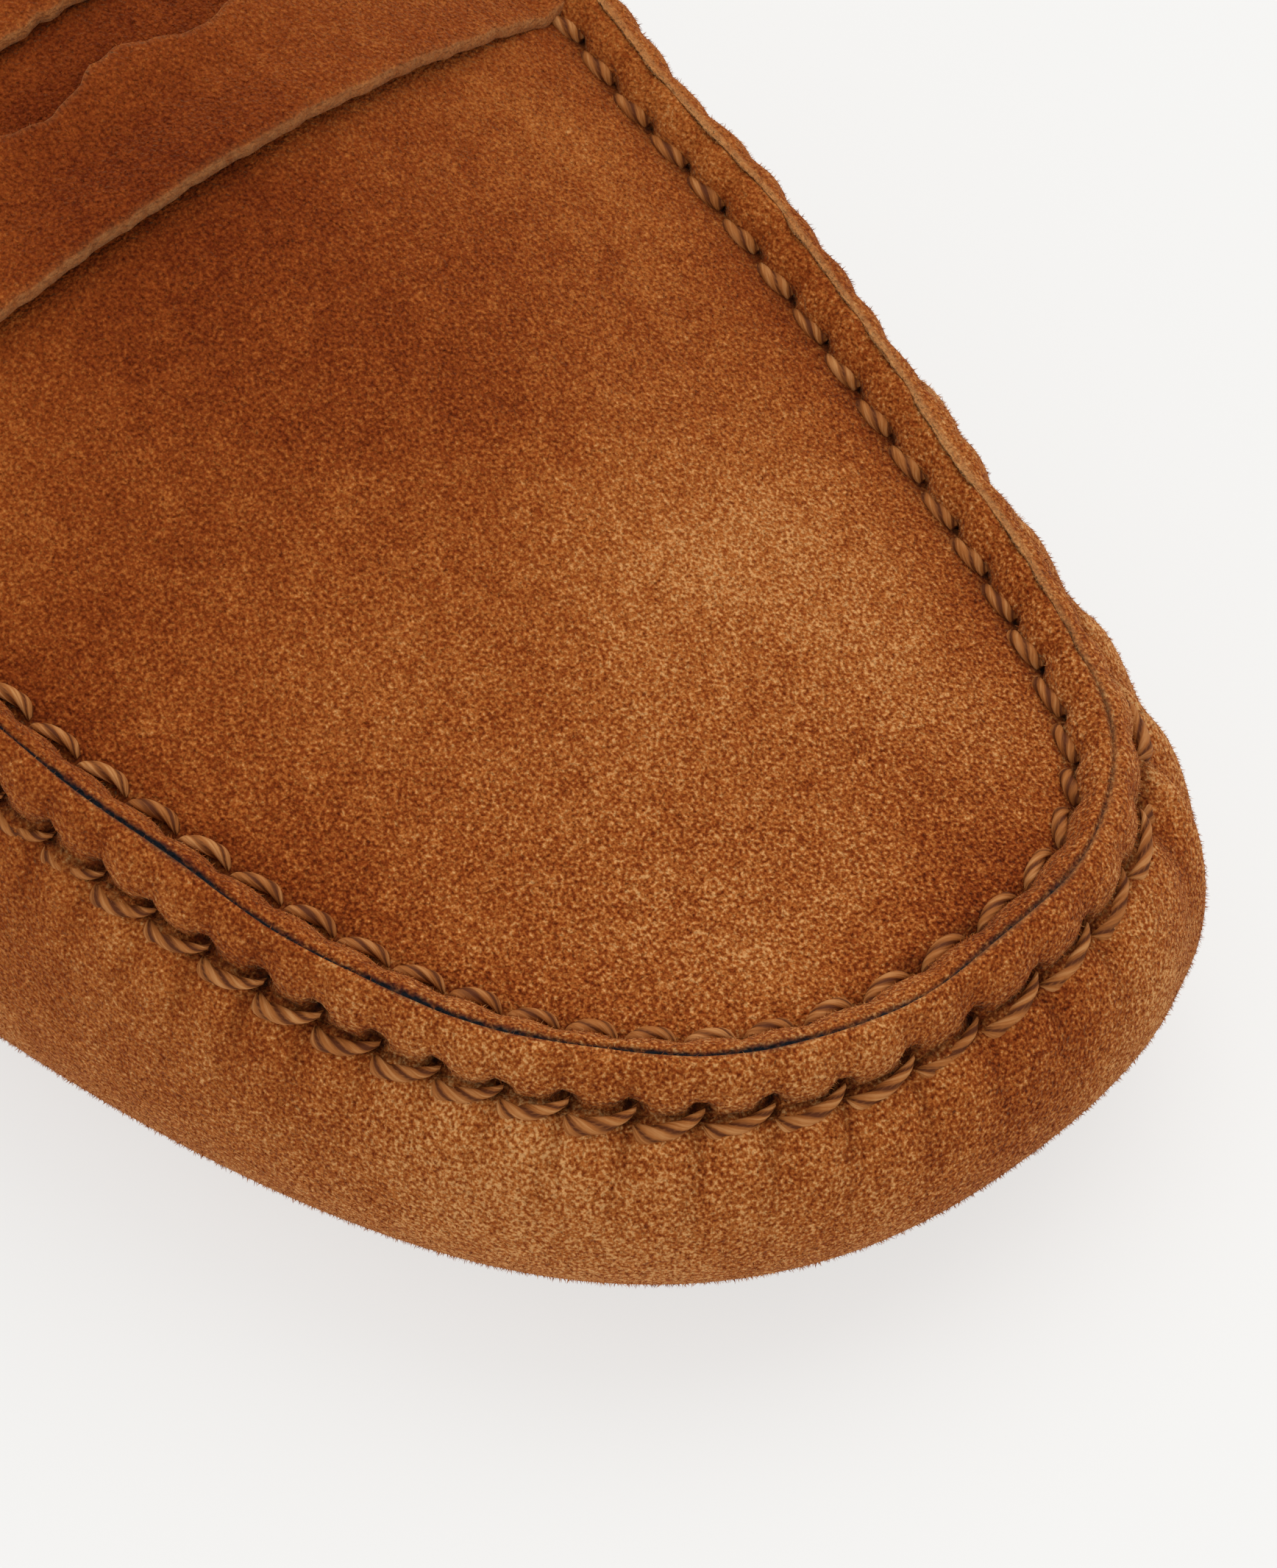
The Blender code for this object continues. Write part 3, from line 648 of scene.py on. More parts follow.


# %% [markdown]
# The apron is spanned by chords from side to side, one for each step along the seam, and the
# tongue carries on behind the throat with shorter and shorter chords to its rounded end.

# %% Clouds in the dye, with painted light on the rim and the inner wall
# Lighter and darker patches. The amount is a share of the way from the
# darkest dye to the lightest, and places and sizes are in millimetres.
Patch = namedtuple("Patch", "x y z size amount")
PATCHES = [
    Patch(58, 0, 52, 22, -0.17),
    Patch(75, -23, 44, 14, -0.05),
    Patch(76, 7, 46, 14, -0.10),
    Patch(97, 18, 37, 14, 0.17),
    Patch(108, 23, 33, 10, 0.05),
    Patch(67, 30, 45, 10, 0.06),
    Patch(129, 15, 30, 8, -0.12),
    Patch(124, -4, 31, 13, 0.10),
    Patch(77, -32, 41, 9, -0.10),
    Patch(95, -11, 38, 15, 0.04),
    Patch(115, -34, 23, 12, 0.07),
    Patch(133, -21, 21, 12, 0.08),
    Patch(141, -2, 24, 9, 0.05),
    Patch(142, 11, 24, 8, -0.15),
    Patch(139, 26, 23, 8, 0.05),
    Patch(143, 18, 16, 7, 0.12),
    Patch(108, 36, 33, 9, -0.10),
    Patch(92, 38, 38, 9, -0.08),
    Patch(78, 41, 42, 9, -0.08),
    Patch(98, -31, 35, 10, -0.06),
    # The next four patches are painted light: the inner wall is made lighter, as if lit from the side.
    Patch(125, 39, 24, 10, 0.08),
    Patch(110, 45, 26, 13, 0.10),
    Patch(94, 48, 30, 13, 0.10),
    Patch(76, 48, 36, 12, 0.06),
    Patch(50, -6, 55, 12, -0.12),
    Patch(67, 30, 45, 8, -0.04),
]
# Painted light: the wall is made lighter towards the floor, as if lit from below by the glowing floor.
RIM_PAINTED_LIGHT = 0.20
RIM_HEIGHT = 0.013


def tone_at(points):
    """How much lighter or darker the suede is at each point: the dye's clouds, with painted light on the lower rim and
    on the inner wall.
    """
    tone = RIM_PAINTED_LIGHT * np.exp(-((points[:, 2] / RIM_HEIGHT) ** 2))
    for patch in PATCHES:
        apart = np.linalg.norm(points / MM - np.array([patch.x, patch.y, patch.z]), axis=1)
        tone = tone + patch.amount * np.exp(-((apart / patch.size) ** 2))
    return tone


# %% A builder for grids of points
class Shell:
    """Collects points, faces and point attributes for one mesh."""

    def __init__(self):
        self.points, self.faces, self.slots = [], [], []
        self.values = {"shade": [], "cut": [], "nap": [], "raw": [], "tone": []}

    def row(self, points, **values):
        """Adds a row of points and gives their numbers."""
        first = len(self.points)
        self.points.extend(tuple(float(c) for c in point) for point in points)
        values.setdefault("tone", tone_at(np.array(points, float)))
        for name, kept in self.values.items():
            given = values.get(name, 0.0)
            kept.extend(np.broadcast_to(given, (len(points),)).astype(float).tolist())
        return list(range(first, len(self.points)))

    def face(self, corners, slot):
        """Adds a face, without corners that are met twice."""
        distinct = list(dict.fromkeys(corners))
        if len(distinct) > 2:
            self.faces.append(distinct)
            self.slots.append(slot)

    def bridge(self, row, other, slot, closed=False):
        """Faces between two rows with the same number of points."""
        ends = len(row) if closed else len(row) - 1
        for i in range(ends):
            j = (i + 1) % len(row)
            self.face((row[i], row[j], other[j], other[i]), slot)

    def finish(self, name, materials, sharp=None):
        """One mesh object with its faces pointing out, shaded smooth."""
        data = bpy.data.meshes.new(name)
        data.from_pydata(self.points, [], self.faces)
        data.polygons.foreach_set("material_index", self.slots)
        for attribute, kept in self.values.items():
            made = data.attributes.new(attribute, "FLOAT", "POINT")
            made.data.foreach_set("value", kept)
        work = bmesh.new()
        work.from_mesh(data)
        bmesh.ops.recalc_face_normals(work, faces=work.faces)
        work.to_mesh(data)
        work.free()
        data.shade_smooth()
        if sharp is not None:
            data.set_sharp_from_angle(angle=math.radians(sharp))
        for made in materials:
            data.materials.append(made)
        piece = bpy.data.objects.new(name, data)
        bpy.context.scene.collection.objects.link(piece)
        triangles = sum(len(face) - 2 for face in self.faces)
        print(name, "has", triangles, "triangles")
        return piece


# %% [markdown]
# ## Suede
# Suede is leather split and buffed on its flesh side until the fibres stand as a nap. The nap
# scatters light, so there is no gloss, and it glows a little where it is seen on edge: that
# is sheen. The dye lies in clouds, and the nap brushed one way or the other looks lighter or
# darker. Three noises make the small clouds, the brush marks and the fibre's speckle, which
# is coarser at the toe, where the nap stands, than under the strap, where it is brushed flat.

# %% Suede
SUEDE_COLOURS = ((0.0, "#3d1302"), (0.25, "#692606"), (0.5, "#8f4214"), (0.75, "#b66a2e"), (1.0, "#dba064"))
SUEDE_LEVEL = 0.60
# SEAM_SHADE is painted shade, for the holes, the creases and the ridge's feet.
SEAM_SHADE = "#1e0c05"
CUT_EDGE = "#1b1e24"
RAW_EDGE = "#bd8450"
SHEEN_TINT = "#dca673"


def suede(name):
    """Suede that reads five attributes: tone for the dye with painted light and shade, fibre for the dye, shade for
    painted shade at the seam, and raw and cut for the edges.
    """
    made = bpy.data.materials.new(name)
    made.use_nodes = True
    tree = made.node_tree
    shader = tree.nodes["Principled BSDF"]
    spot = node(tree, "ShaderNodeTexCoord").outputs["Object"]
    total = SUEDE_LEVEL
    brush = None
    toeward = node(tree, "ShaderNodeSeparateXYZ", {0: spot}).outputs["X"]
    brushed = node(tree, "ShaderNodeMapRange", {"Value": toeward, "From Min": 0.04, "From Max": 0.12, "To Min": 0.65, "To Max": 1.5})
    for scale, detail, rough, amount in ((55.0, 2.0, 0.55, 0.22), (300.0, 2.0, 0.6, 0.26), (3400.0, 1.0, 0.5, 1.0)):
        noise = node(tree, "ShaderNodeTexNoise", {"Vector": spot, "Scale": scale, "Detail": detail, "Roughness": rough})
        brush = noise if scale == 300.0 else brush
        middle = node(tree, "ShaderNodeMath", {0: noise.outputs["Fac"], 1: 0.5}, operation="SUBTRACT")
        if scale > 1000.0:
            middle = node(tree, "ShaderNodeMath", {0: middle.outputs[0], 1: brushed.outputs["Result"]}, operation="MULTIPLY")
        total = node(tree, "ShaderNodeMath", {0: middle.outputs[0], 1: amount, 2: total}, operation="MULTIPLY_ADD").outputs[0]
    for attribute, amount in (("tone", 1.0), ("fibre", 0.14)):
        kept = node(tree, "ShaderNodeAttribute", attribute_name=attribute)
        total = node(tree, "ShaderNodeMath", {0: kept.outputs["Fac"], 1: amount, 2: total}, operation="MULTIPLY_ADD").outputs[0]
    ramp = node(tree, "ShaderNodeValToRGB", {"Fac": total})
    stops = ramp.color_ramp.elements
    stops[0].color, stops[1].color = linear(SUEDE_COLOURS[0][1]), linear(SUEDE_COLOURS[-1][1])
    for position, tint in SUEDE_COLOURS[1:-1]:
        stops.new(position).color = linear(tint)
    colour = ramp.outputs["Color"]
    # One noise breaks up the masks: the painted shade at the seam and the ridge's cut and raw edges.
    fuzz = node(tree, "ShaderNodeTexNoise", {"Vector": spot, "Scale": 1400.0, "Detail": 1.0})
    ragged = node(tree, "ShaderNodeMath", {0: fuzz.outputs["Fac"], 1: 1.6, 2: -0.8}, operation="MULTIPLY_ADD")
    for attribute, tint in (("shade", SEAM_SHADE), ("raw", RAW_EDGE), ("cut", CUT_EDGE)):
        kept = node(tree, "ShaderNodeAttribute", attribute_name=attribute)
        rough = node(tree, "ShaderNodeMath", {0: ragged.outputs[0], 1: 1.0}, operation="ADD")
        mask = node(tree, "ShaderNodeMath", {0: kept.outputs["Fac"], 1: rough.outputs[0]}, operation="MULTIPLY", use_clamp=True)
        mixed = node(tree, "ShaderNodeMix", {"Factor": mask.outputs[0], 6: colour, 7: linear(tint)}, data_type="RGBA")
        colour = mixed.outputs[2]
    tree.links.new(colour, shader.inputs["Base Color"])
    grain = node(tree, "ShaderNodeTexNoise", {"Vector": spot, "Scale": 2800.0, "Detail": 1.0})
    first = node(tree, "ShaderNodeBump", {"Height": grain.outputs["Fac"], "Strength": 1.0, "Distance": 0.0005})
    second = node(tree, "ShaderNodeBump", {"Height": brush.outputs["Fac"], "Strength": 0.5, "Distance": 0.0006, "Normal": first.outputs[0]})
    tree.links.new(second.outputs[0], shader.inputs["Normal"])
    shader.inputs["Roughness"].default_value = 0.95
    shader.inputs["Specular IOR Level"].default_value = 0.10
    shader.inputs["Sheen Weight"].default_value = 0.30
    shader.inputs["Sheen Roughness"].default_value = 0.30
    shader.inputs["Sheen Tint"].default_value = linear(SHEEN_TINT)
    return made


suede_tan = suede("suede_tan")
print("suede made")

# %% [markdown]
# ## Lining leather
# Plain calf, tanned and finished smooth. It is paler than the suede and has a soft gloss,
# with a fine pebble that shows only close up.


# %% Lining leather
def smooth_leather(name, dark, light, roughness):
    """A finished leather with a fine pebble."""
    made = bpy.data.materials.new(name)
    made.use_nodes = True
    tree = made.node_tree
    shader = tree.nodes["Principled BSDF"]
    place_node = node(tree, "ShaderNodeTexCoord").outputs["Object"]
    clouds = node(tree, "ShaderNodeTexNoise", {"Vector": place_node, "Scale": 40.0, "Detail": 4.0})
    pebble = node(tree, "ShaderNodeTexVoronoi", {"Vector": place_node, "Scale": 1100.0})
    mixed = node(
        tree,
        "ShaderNodeMix",
        {"Factor": clouds.outputs["Fac"], 6: linear(dark), 7: linear(light)},
        data_type="RGBA",
    )
    tree.links.new(mixed.outputs[2], shader.inputs["Base Color"])
    bump = node(tree, "ShaderNodeBump", {"Height": pebble.outputs["Distance"], "Strength": 0.25, "Distance": 0.0003})
    tree.links.new(bump.outputs[0], shader.inputs["Normal"])
    shader.inputs["Roughness"].default_value = roughness
    return made


lining_calf = smooth_leather("lining_calf", "#9c7350", "#b58c66", 0.55)
print("lining leather made")

# %% The upper's mesh
STRAP_EDGE = 0.0505
APRON_COLUMNS = 72
TONGUE_ROWS = 24
LINING_ARC_ROWS = 4
LINING_SHOULDER_ROWS = 6
shell = Shell()
hole_shade = hole_pull(run_grid, down + HOLE_RISE, 0.95, 0.0010) * wall_ends[None, :]
foot_shade = 0.55 * np.exp(-((down / 0.0011) ** 2)) * wall_ends[None, :]
wall_nap = smooth_step((outer_face[..., 0] + 0.02) / 0.05)
outer_rows = [
    shell.row(
        outer_fine[i],
        shade=np.maximum(hole_shade[i], np.maximum(foot_shade[i], 0.5 * creases[i] * wall_ends)),
        nap=wall_nap[i],
        tone=tone_at(outer_face[i]) + RELIEF_PAINTED_SHADING * np.clip(relief[i], -0.001, 0.0008),
    )
    for i in range(len(outer_fine))
]
for low, high in zip(outer_rows, outer_rows[1:]):
    shell.bridge(low, high, 0, closed=True)

crest_width = 0.050 + 0.018 * np.sin(seam_run / 0.0043) + 0.012 * np.sin(seam_run / 0.0016 + 2.0)
crest_near = np.exp(-(((ridge_across - CREST_SHARE) / crest_width) ** 2))
crest_amount = np.interp(seam_run, [-0.2, -0.1, -0.025, 0.010, 0.030, 0.045], [0.8, 1.3, 1.2, 0.7, 0.4, 0.0])
raw_near = np.exp(-(((ridge_across - CREST_SHARE + 0.035) / 0.05) ** 2))
raw_amount = np.interp(seam_run, [-0.06, -0.03, 0.0, 0.02, 0.035, 0.05, 0.12], [0.0, 0.15, 0.5, 0.3, 0.5, 1.0, 0.7])
ridge_shade = np.maximum(
    hole_pull(ridge_runs, down_ridge - HOLE_RISE, 0.95, 0.0010),
    hole_pull(ridge_runs, up_ridge, 0.95, 0.0009, offset=-0.0015),
)
ridge_shade = np.maximum(ridge_shade, 0.4 * ridge_creases)
ridge_shade = np.maximum(ridge_shade, 0.45 * np.exp(-((down_ridge / 0.0007) ** 2)))
ridge_shade = np.maximum(ridge_shade, 0.45 * np.exp(-((up_ridge / 0.0007) ** 2)))
ridge_nap = smooth_step(ridge_face[..., 0] / 0.03)
ridge_nap = ridge_nap * (1.0 - np.clip(crest_near * crest_amount + ridge_shade, 0.0, 1.0))
foot_numbers = outer_rows[-1][FIRST_SEWN : LAST_SEWN + 1]
ridge_rows = [foot_numbers]
for i in range(1, RIDGE_ROWS + 1):
    ridge_rows.append(
        shell.row(
            ridge_fine[i],
            shade=ridge_shade[i],
            cut=crest_near[i] * crest_amount,
            raw=raw_near[i, 0] * raw_amount,
            tone=tone_at(ridge_face[i]) + RELIEF_PAINTED_SHADING * ridge_relief[i],
            nap=ridge_nap[i],
        )
    )
    shell.bridge(ridge_rows[-2], ridge_rows[-1], 0)

inner_face = np.array(
    [[inset_point(s, *p) for p in wall_section(s, WALL_THICKNESS, LINING_ARC_ROWS, LINING_SHOULDER_ROWS)] for s in spots]
).transpose(1, 0, 2)
inner_rows = [shell.row(row) for row in inner_face]
for low, high in zip(inner_rows, inner_rows[1:]):
    shell.bridge(low, high, 1, closed=True)
shell.bridge(outer_rows[0], inner_rows[0], 1, closed=True)
collar = [*range(LAST_SEWN, len(spots)), *range(FIRST_SEWN + 1)]


def apron_chord(edge, step, below, columns, relief_share):
    """A row of point numbers across the apron, between two points of its edge."""
    outer, inner = (ridge_face[-1, i] - np.array([0.0, 0.0, below]) for i in (step, -1 - step))
    shares = np.arange(1, columns) / columns
    middle = outer + shares[:, None] * (inner - outer)
    width = np.linalg.norm(inner[:2] - outer[:2])
    crown = (ridge_spots[step].crown + ridge_spots[-1 - step].crown) / 2.0
    middle[:, 2] += crown * width / 2.0 * (1.0 - (2.0 * shares - 1.0) ** 2)
    x, y = middle[:, 0], middle[:, 1]
    near = np.minimum(np.minimum(shares, 1.0 - shares) * width, EDGES[1][0].max() - x)
    middle[:, 2] += relief_share * apron_relief(x, y) * smooth_step(near / 0.01)
    # Painted shade: the apron's tone falls beside the ridge, and behind the strap's front edge as a painted shadow of
    # the strap.
    row = shell.row(
        middle,
        shade=0.45 * relief_share * np.exp(-((near / 0.0010) ** 2)),
        nap=relief_share * smooth_step(x / 0.03),
        tone=tone_at(middle) - 0.10 * np.exp(-((near / 0.004) ** 2)) - 0.16 * smooth_step((STRAP_EDGE - x) / 0.004),
    )
    return [edge[step], *row, edge[-1 - step]]


def tongue_chord(row, below, columns, rows):
    """A row of point numbers across the tongue, behind the seam's end."""
    share = 0.98 * row / rows
    x = THROAT_X - TONGUE_LENGTH * share
    outer_y, inner_y = edge_at(-1, x)[0], edge_at(1, x)[0]
    half = math.sqrt(1.0 - share**2.6)
    across = 0.5 + half * (np.arange(columns + 1) / columns - 0.5)
    y = outer_y + across * (inner_y - outer_y)
    x_row = np.full(columns + 1, x)
    return shell.row(np.stack([x_row, y, apron_height(x_row, y) - below], 1))


faces = []
under = [inner_rows[-1][i] for i in range(FIRST_SEWN, LAST_SEWN + 1)]
for edge, below, relief_share, slot in ((ridge_rows[-1], 0.0, 1.0, 0), (under, WALL_THICKNESS, 0.0, 1)):
    chords = [tongue_chord(i, below, APRON_COLUMNS, TONGUE_ROWS) for i in range(TONGUE_ROWS, 0, -1)]
    chords += [apron_chord(edge, i, below, APRON_COLUMNS, relief_share) for i in range(SEAM_STEPS)]
    for chord, ahead in zip(chords, chords[1:]):
        shell.bridge(chord, ahead, slot)
    toe = edge[SEAM_STEPS]
    for i in range(APRON_COLUMNS):
        shell.face((chords[-1][i], chords[-1][i + 1], toe), slot)
    faces.append(chords)
for end in (0, -1):
    rims = [[chord[end] for chord in chords[: TONGUE_ROWS + 1]] for chords in faces]
    shell.bridge(*rims, 0)
    shell.face([*[row[end] for row in ridge_rows], under[end]], 0)
shell.bridge(faces[0][0], faces[1][0], 0)
shell.bridge([outer_rows[-1][i] for i in collar], [inner_rows[-1][i] for i in collar], 0)
upper = shell.finish("suede_upper", [suede_tan, lining_calf])
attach(upper, "root")
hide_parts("upper")

# %% [markdown]
# ## Thread
# One length of thread is modelled for each side of the ridge: three plies twisted together,
# thin where it dives into a hole and fat where it lies on the leather. Geometry Nodes lays a
# copy between each two holes, with a thickness and a colour of its own.

# %% A length of thread
THREAD_AROUND = 24
THREAD_ALONG = 16
PLIES = 3


def thread_mesh(name, path, radius, twist, flat, material):
    """A twisted thread from x = 0 to x = 1 along a path of (x, y, z) points."""
    work = Shell()
    shares = np.linspace(0.0, 1.0, THREAD_ALONG)
    keys = np.linspace(0.0, 1.0, len(path))
    centre = np.stack([np.interp(shares, keys, [p[i] for p in path]) for i in range(3)], 1)
    for _ in range(3):
        centre[1:-1] = (centre[:-2] + 2.0 * centre[1:-1] + centre[2:]) / 4.0
    sizes = np.interp(shares, np.linspace(0.0, 1.0, len(radius)), radius)
    turns = np.linspace(0.0, 2.0 * math.pi, THREAD_AROUND, endpoint=False)
    rows = []
    for i, share in enumerate(shares):
        lobes = np.abs(np.cos(PLIES / 2.0 * (turns - 2.0 * math.pi * twist * share)))
        reach = sizes[i] * (0.74 + 0.26 * lobes**0.6)
        y = centre[i, 1] + reach * np.sin(turns)
        z = centre[i, 2] - flat * reach * np.cos(turns)
        x = np.full(THREAD_AROUND, centre[i, 0])
        strand = turns / (2.0 * math.pi) - twist * share
        rows.append(work.row(np.stack([x, y, z], 1), shade=(1.0 - lobes) ** 1.6, nap=share, raw=strand))
    for row, ahead in zip(rows, rows[1:]):
        work.bridge(row, ahead, 0, closed=True)
    work.face(rows[0], 0)
    work.face(rows[-1], 0)
    return work.finish(name, [material])


THREAD_DARK = "#5c2b0c"
THREAD_MIDDLE = "#a3612a"
THREAD_LIGHT = "#d0965c"


def waxed_thread(name):
    """Twisted waxed thread. It reads shade for the grooves between plies and tint for each stitch."""
    made = bpy.data.materials.new(name)
    made.use_nodes = True
    tree = made.node_tree
    shader = tree.nodes["Principled BSDF"]
    groove = node(tree, "ShaderNodeAttribute", attribute_name="shade").outputs["Fac"]
    tint = node(tree, "ShaderNodeAttribute", attribute_name="tint").outputs["Fac"]
    strand = node(tree, "ShaderNodeAttribute", attribute_name="raw").outputs["Fac"]
    along = node(tree, "ShaderNodeAttribute", attribute_name="nap").outputs["Fac"]
    strand = node(tree, "ShaderNodeMath", {0: strand, 1: 16.0}, operation="MULTIPLY")
    along = node(tree, "ShaderNodeMath", {0: along, 1: 3.0}, operation="MULTIPLY")
    other = node(tree, "ShaderNodeMath", {0: tint, 1: 9.0}, operation="MULTIPLY")
    lines = node(tree, "ShaderNodeCombineXYZ", {"X": strand.outputs[0], "Y": along.outputs[0], "Z": other.outputs[0]})
    fibre = node(tree, "ShaderNodeTexNoise", {"Vector": lines.outputs[0], "Scale": 1.0, "Detail": 2.0})
    total = node(tree, "ShaderNodeMath", {0: groove, 1: -0.9, 2: 0.28}, operation="MULTIPLY_ADD")
    total = node(tree, "ShaderNodeMath", {0: tint, 1: 0.25, 2: total.outputs[0]}, operation="MULTIPLY_ADD")
    total = node(tree, "ShaderNodeMath", {0: fibre.outputs["Fac"], 1: 1.1, 2: total.outputs[0]}, operation="MULTIPLY_ADD")
    total = node(tree, "ShaderNodeMath", {0: total.outputs[0], 1: 0.35}, operation="SUBTRACT")
    ramp = node(tree, "ShaderNodeValToRGB", {"Fac": total.outputs[0]})
    ramp.color_ramp.elements[0].color = linear(THREAD_DARK)
    ramp.color_ramp.elements[1].color = linear(THREAD_LIGHT)
    ramp.color_ramp.elements.new(0.5).color = linear(THREAD_MIDDLE)
    tree.links.new(ramp.outputs["Color"], shader.inputs["Base Color"])
    bump = node(tree, "ShaderNodeBump", {"Height": fibre.outputs["Fac"], "Strength": 0.6, "Distance": 0.0002})
    tree.links.new(bump.outputs[0], shader.inputs["Normal"])
    shader.inputs["Roughness"].default_value = 0.72
    shader.inputs["Specular IOR Level"].default_value = 0.2
    return made


thread_waxed = waxed_thread("thread_waxed")
OUTER_PATH = [
    (-0.02, -0.0007, -0.0003), (0.01, -0.0010, 0.0003), (0.08, -0.0012, 0.0006), (0.28, -0.0013, 0.0008),
    (0.50, -0.0011, 0.0009), (0.68, -0.0008, 0.0011), (0.84, -0.0004, 0.0013), (0.96, 0.0000, 0.0013),
    (1.05, 0.0006, 0.0010),
]
OUTER_RADIUS = [0.00058, 0.00070, 0.00074, 0.00074, 0.00070, 0.00064, 0.00054, 0.00044, 0.00034]
INNER_PATH = [
    (0.03, -0.0004, -0.0004), (0.10, -0.0004, 0.0002), (0.26, -0.0003, 0.0006), (0.50, 0.0000, 0.0007),
    (0.72, 0.0003, 0.0006), (0.88, 0.0005, 0.0002), (0.98, 0.0005, -0.0004),
]
INNER_RADIUS = [0.00040, 0.00060, 0.00068, 0.00068, 0.00066, 0.00058, 0.00038]
outer_thread = thread_mesh("outer_thread", OUTER_PATH, OUTER_RADIUS, 1.25, 0.85, thread_waxed)
inner_thread = thread_mesh("inner_thread", INNER_PATH, INNER_RADIUS, 1.00, 0.85, thread_waxed)


# %% Laying the thread
def unit(vectors):
    """Vectors of length 1."""
    return vectors / np.linalg.norm(vectors, axis=-1, keepdims=True)


def places_between(points, normals, marks):
    """Start, span and outward direction of the thread between each two marks along the seam."""
    found = np.stack([np.interp(marks, seam_run, points[:, i]) for i in range(3)], 1)
    facing = np.stack([np.interp((marks[1:] + marks[:-1]) / 2.0, seam_run, normals[:, i]) for i in range(3)], 1)
    return found[:-1], found[1:] - found[:-1], unit(facing)


def thread_tree(name, thread, seed):
    """Geometry Nodes that lay one thread at each point, along its span, with a tint of its own."""
    tree = bpy.data.node_groups.new(name, "GeometryNodeTree")
    tree.interface.new_socket("Geometry", in_out="INPUT", socket_type="NodeSocketGeometry")
    tree.interface.new_socket("Thickness", in_out="INPUT", socket_type="NodeSocketFloat")
    tree.interface.new_socket("Geometry", in_out="OUTPUT", socket_type="NodeSocketGeometry")
    start = node(tree, "NodeGroupInput")
    span = node(tree, "GeometryNodeInputNamedAttribute", {"Name": "span"}, data_type="FLOAT_VECTOR")
    facing = node(tree, "GeometryNodeInputNamedAttribute", {"Name": "facing"}, data_type="FLOAT_VECTOR")
    turn = node(
        tree,
        "FunctionNodeAxesToRotation",
        {"Primary Axis": facing.outputs["Attribute"], "Secondary Axis": span.outputs["Attribute"]},
        primary_axis="Z",
        secondary_axis="X",
    )
    length = node(tree, "ShaderNodeVectorMath", {0: span.outputs["Attribute"]}, operation="LENGTH")
    fat = node(tree, "GeometryNodeInputNamedAttribute", {"Name": "fat"}, data_type="FLOAT")
    wide = node(tree, "FunctionNodeRandomValue", {2: 0.90, 3: 1.08, "Seed": seed}, data_type="FLOAT")
    wide = node(tree, "ShaderNodeMath", {0: wide.outputs[1], 1: start.outputs["Thickness"]}, operation="MULTIPLY")
    wide = node(tree, "ShaderNodeMath", {0: wide.outputs[0], 1: fat.outputs["Attribute"]}, operation="MULTIPLY")
    size = node(tree, "ShaderNodeCombineXYZ", {"X": length.outputs["Value"], "Y": wide.outputs[0], "Z": wide.outputs[0]})
    source = node(tree, "GeometryNodeObjectInfo", {"Object": thread}, transform_space="ORIGINAL")
    laid = node(
        tree,
        "GeometryNodeInstanceOnPoints",
        {"Points": start.outputs["Geometry"], "Instance": source.outputs["Geometry"], "Rotation": turn.outputs[0], "Scale": size.outputs[0]},
    )
    tint = node(tree, "FunctionNodeRandomValue", {"Seed": seed + 1}, data_type="FLOAT")
    kept = node(
        tree,
        "GeometryNodeStoreNamedAttribute",
        {"Geometry": laid.outputs[0], "Name": "tint", "Value": tint.outputs[1]},
        data_type="FLOAT",
        domain="INSTANCE",
    )
    real = node(tree, "GeometryNodeRealizeInstances", {"Geometry": kept.outputs[0]})
    dressed = node(tree, "GeometryNodeSetMaterial", {"Geometry": real.outputs[0], "Material": thread_waxed})
    node(tree, "NodeGroupOutput", {"Geometry": dressed.outputs[0]})
    return tree


def grown(name, base, tree, settings):
    """What a Geometry Nodes tree makes of an object, as a piece of its own."""
    modifier = base.modifiers.new("grow", "NODES")
    modifier.node_group = tree
    for item in tree.interface.items_tree:
        if item.in_out == "INPUT" and item.name in settings:
            modifier[item.identifier] = settings[item.name]
    bpy.context.view_layer.update()
    data = bpy.data.meshes.new_from_object(base.evaluated_get(bpy.context.evaluated_depsgraph_get()))
    data.name = name
    base.modifiers.remove(modifier)
    piece = bpy.data.objects.new(name, data)
    bpy.context.scene.collection.objects.link(piece)
    data.calc_loop_triangles()
    print(name, "has", len(data.loop_triangles), "triangles")
    return piece


def lay_thread(name, thread, starts, spans, facings, fats, thickness, seed):
    """The stitches of one row as one piece."""
    data = bpy.data.meshes.new(name + "_places")
    data.from_pydata([tuple(map(float, p)) for p in starts], [], [])
    for attribute, values in (("span", spans), ("facing", facings)):
        made = data.attributes.new(attribute, "FLOAT_VECTOR", "POINT")
        made.data.foreach_set("vector", np.asarray(values, float).ravel())
    made = data.attributes.new("fat", "FLOAT", "POINT")
    made.data.foreach_set("value", np.asarray(fats, float))
    base = bpy.data.objects.new(name + "_places", data)
    bpy.context.scene.collection.objects.link(base)
    piece = grown(name, base, thread_tree(name + "_tree", thread, seed), {"Thickness": thickness})
    bpy.data.objects.remove(base, do_unlink=True)
    return piece


top_normals = wall_normals[-2, FIRST_SEWN : LAST_SEWN + 1]
outer_facing = unit(6.0 * unit(top_normals) + unit(ridge_normals[3]))
outer_foot = outer_fine[-1, FIRST_SEWN : LAST_SEWN + 1]
inner_facing = unit(unit(ridge_normals[-2]) + np.array([0.0, 0.0, 1.0]))
inner_foot = ridge_face[-1]
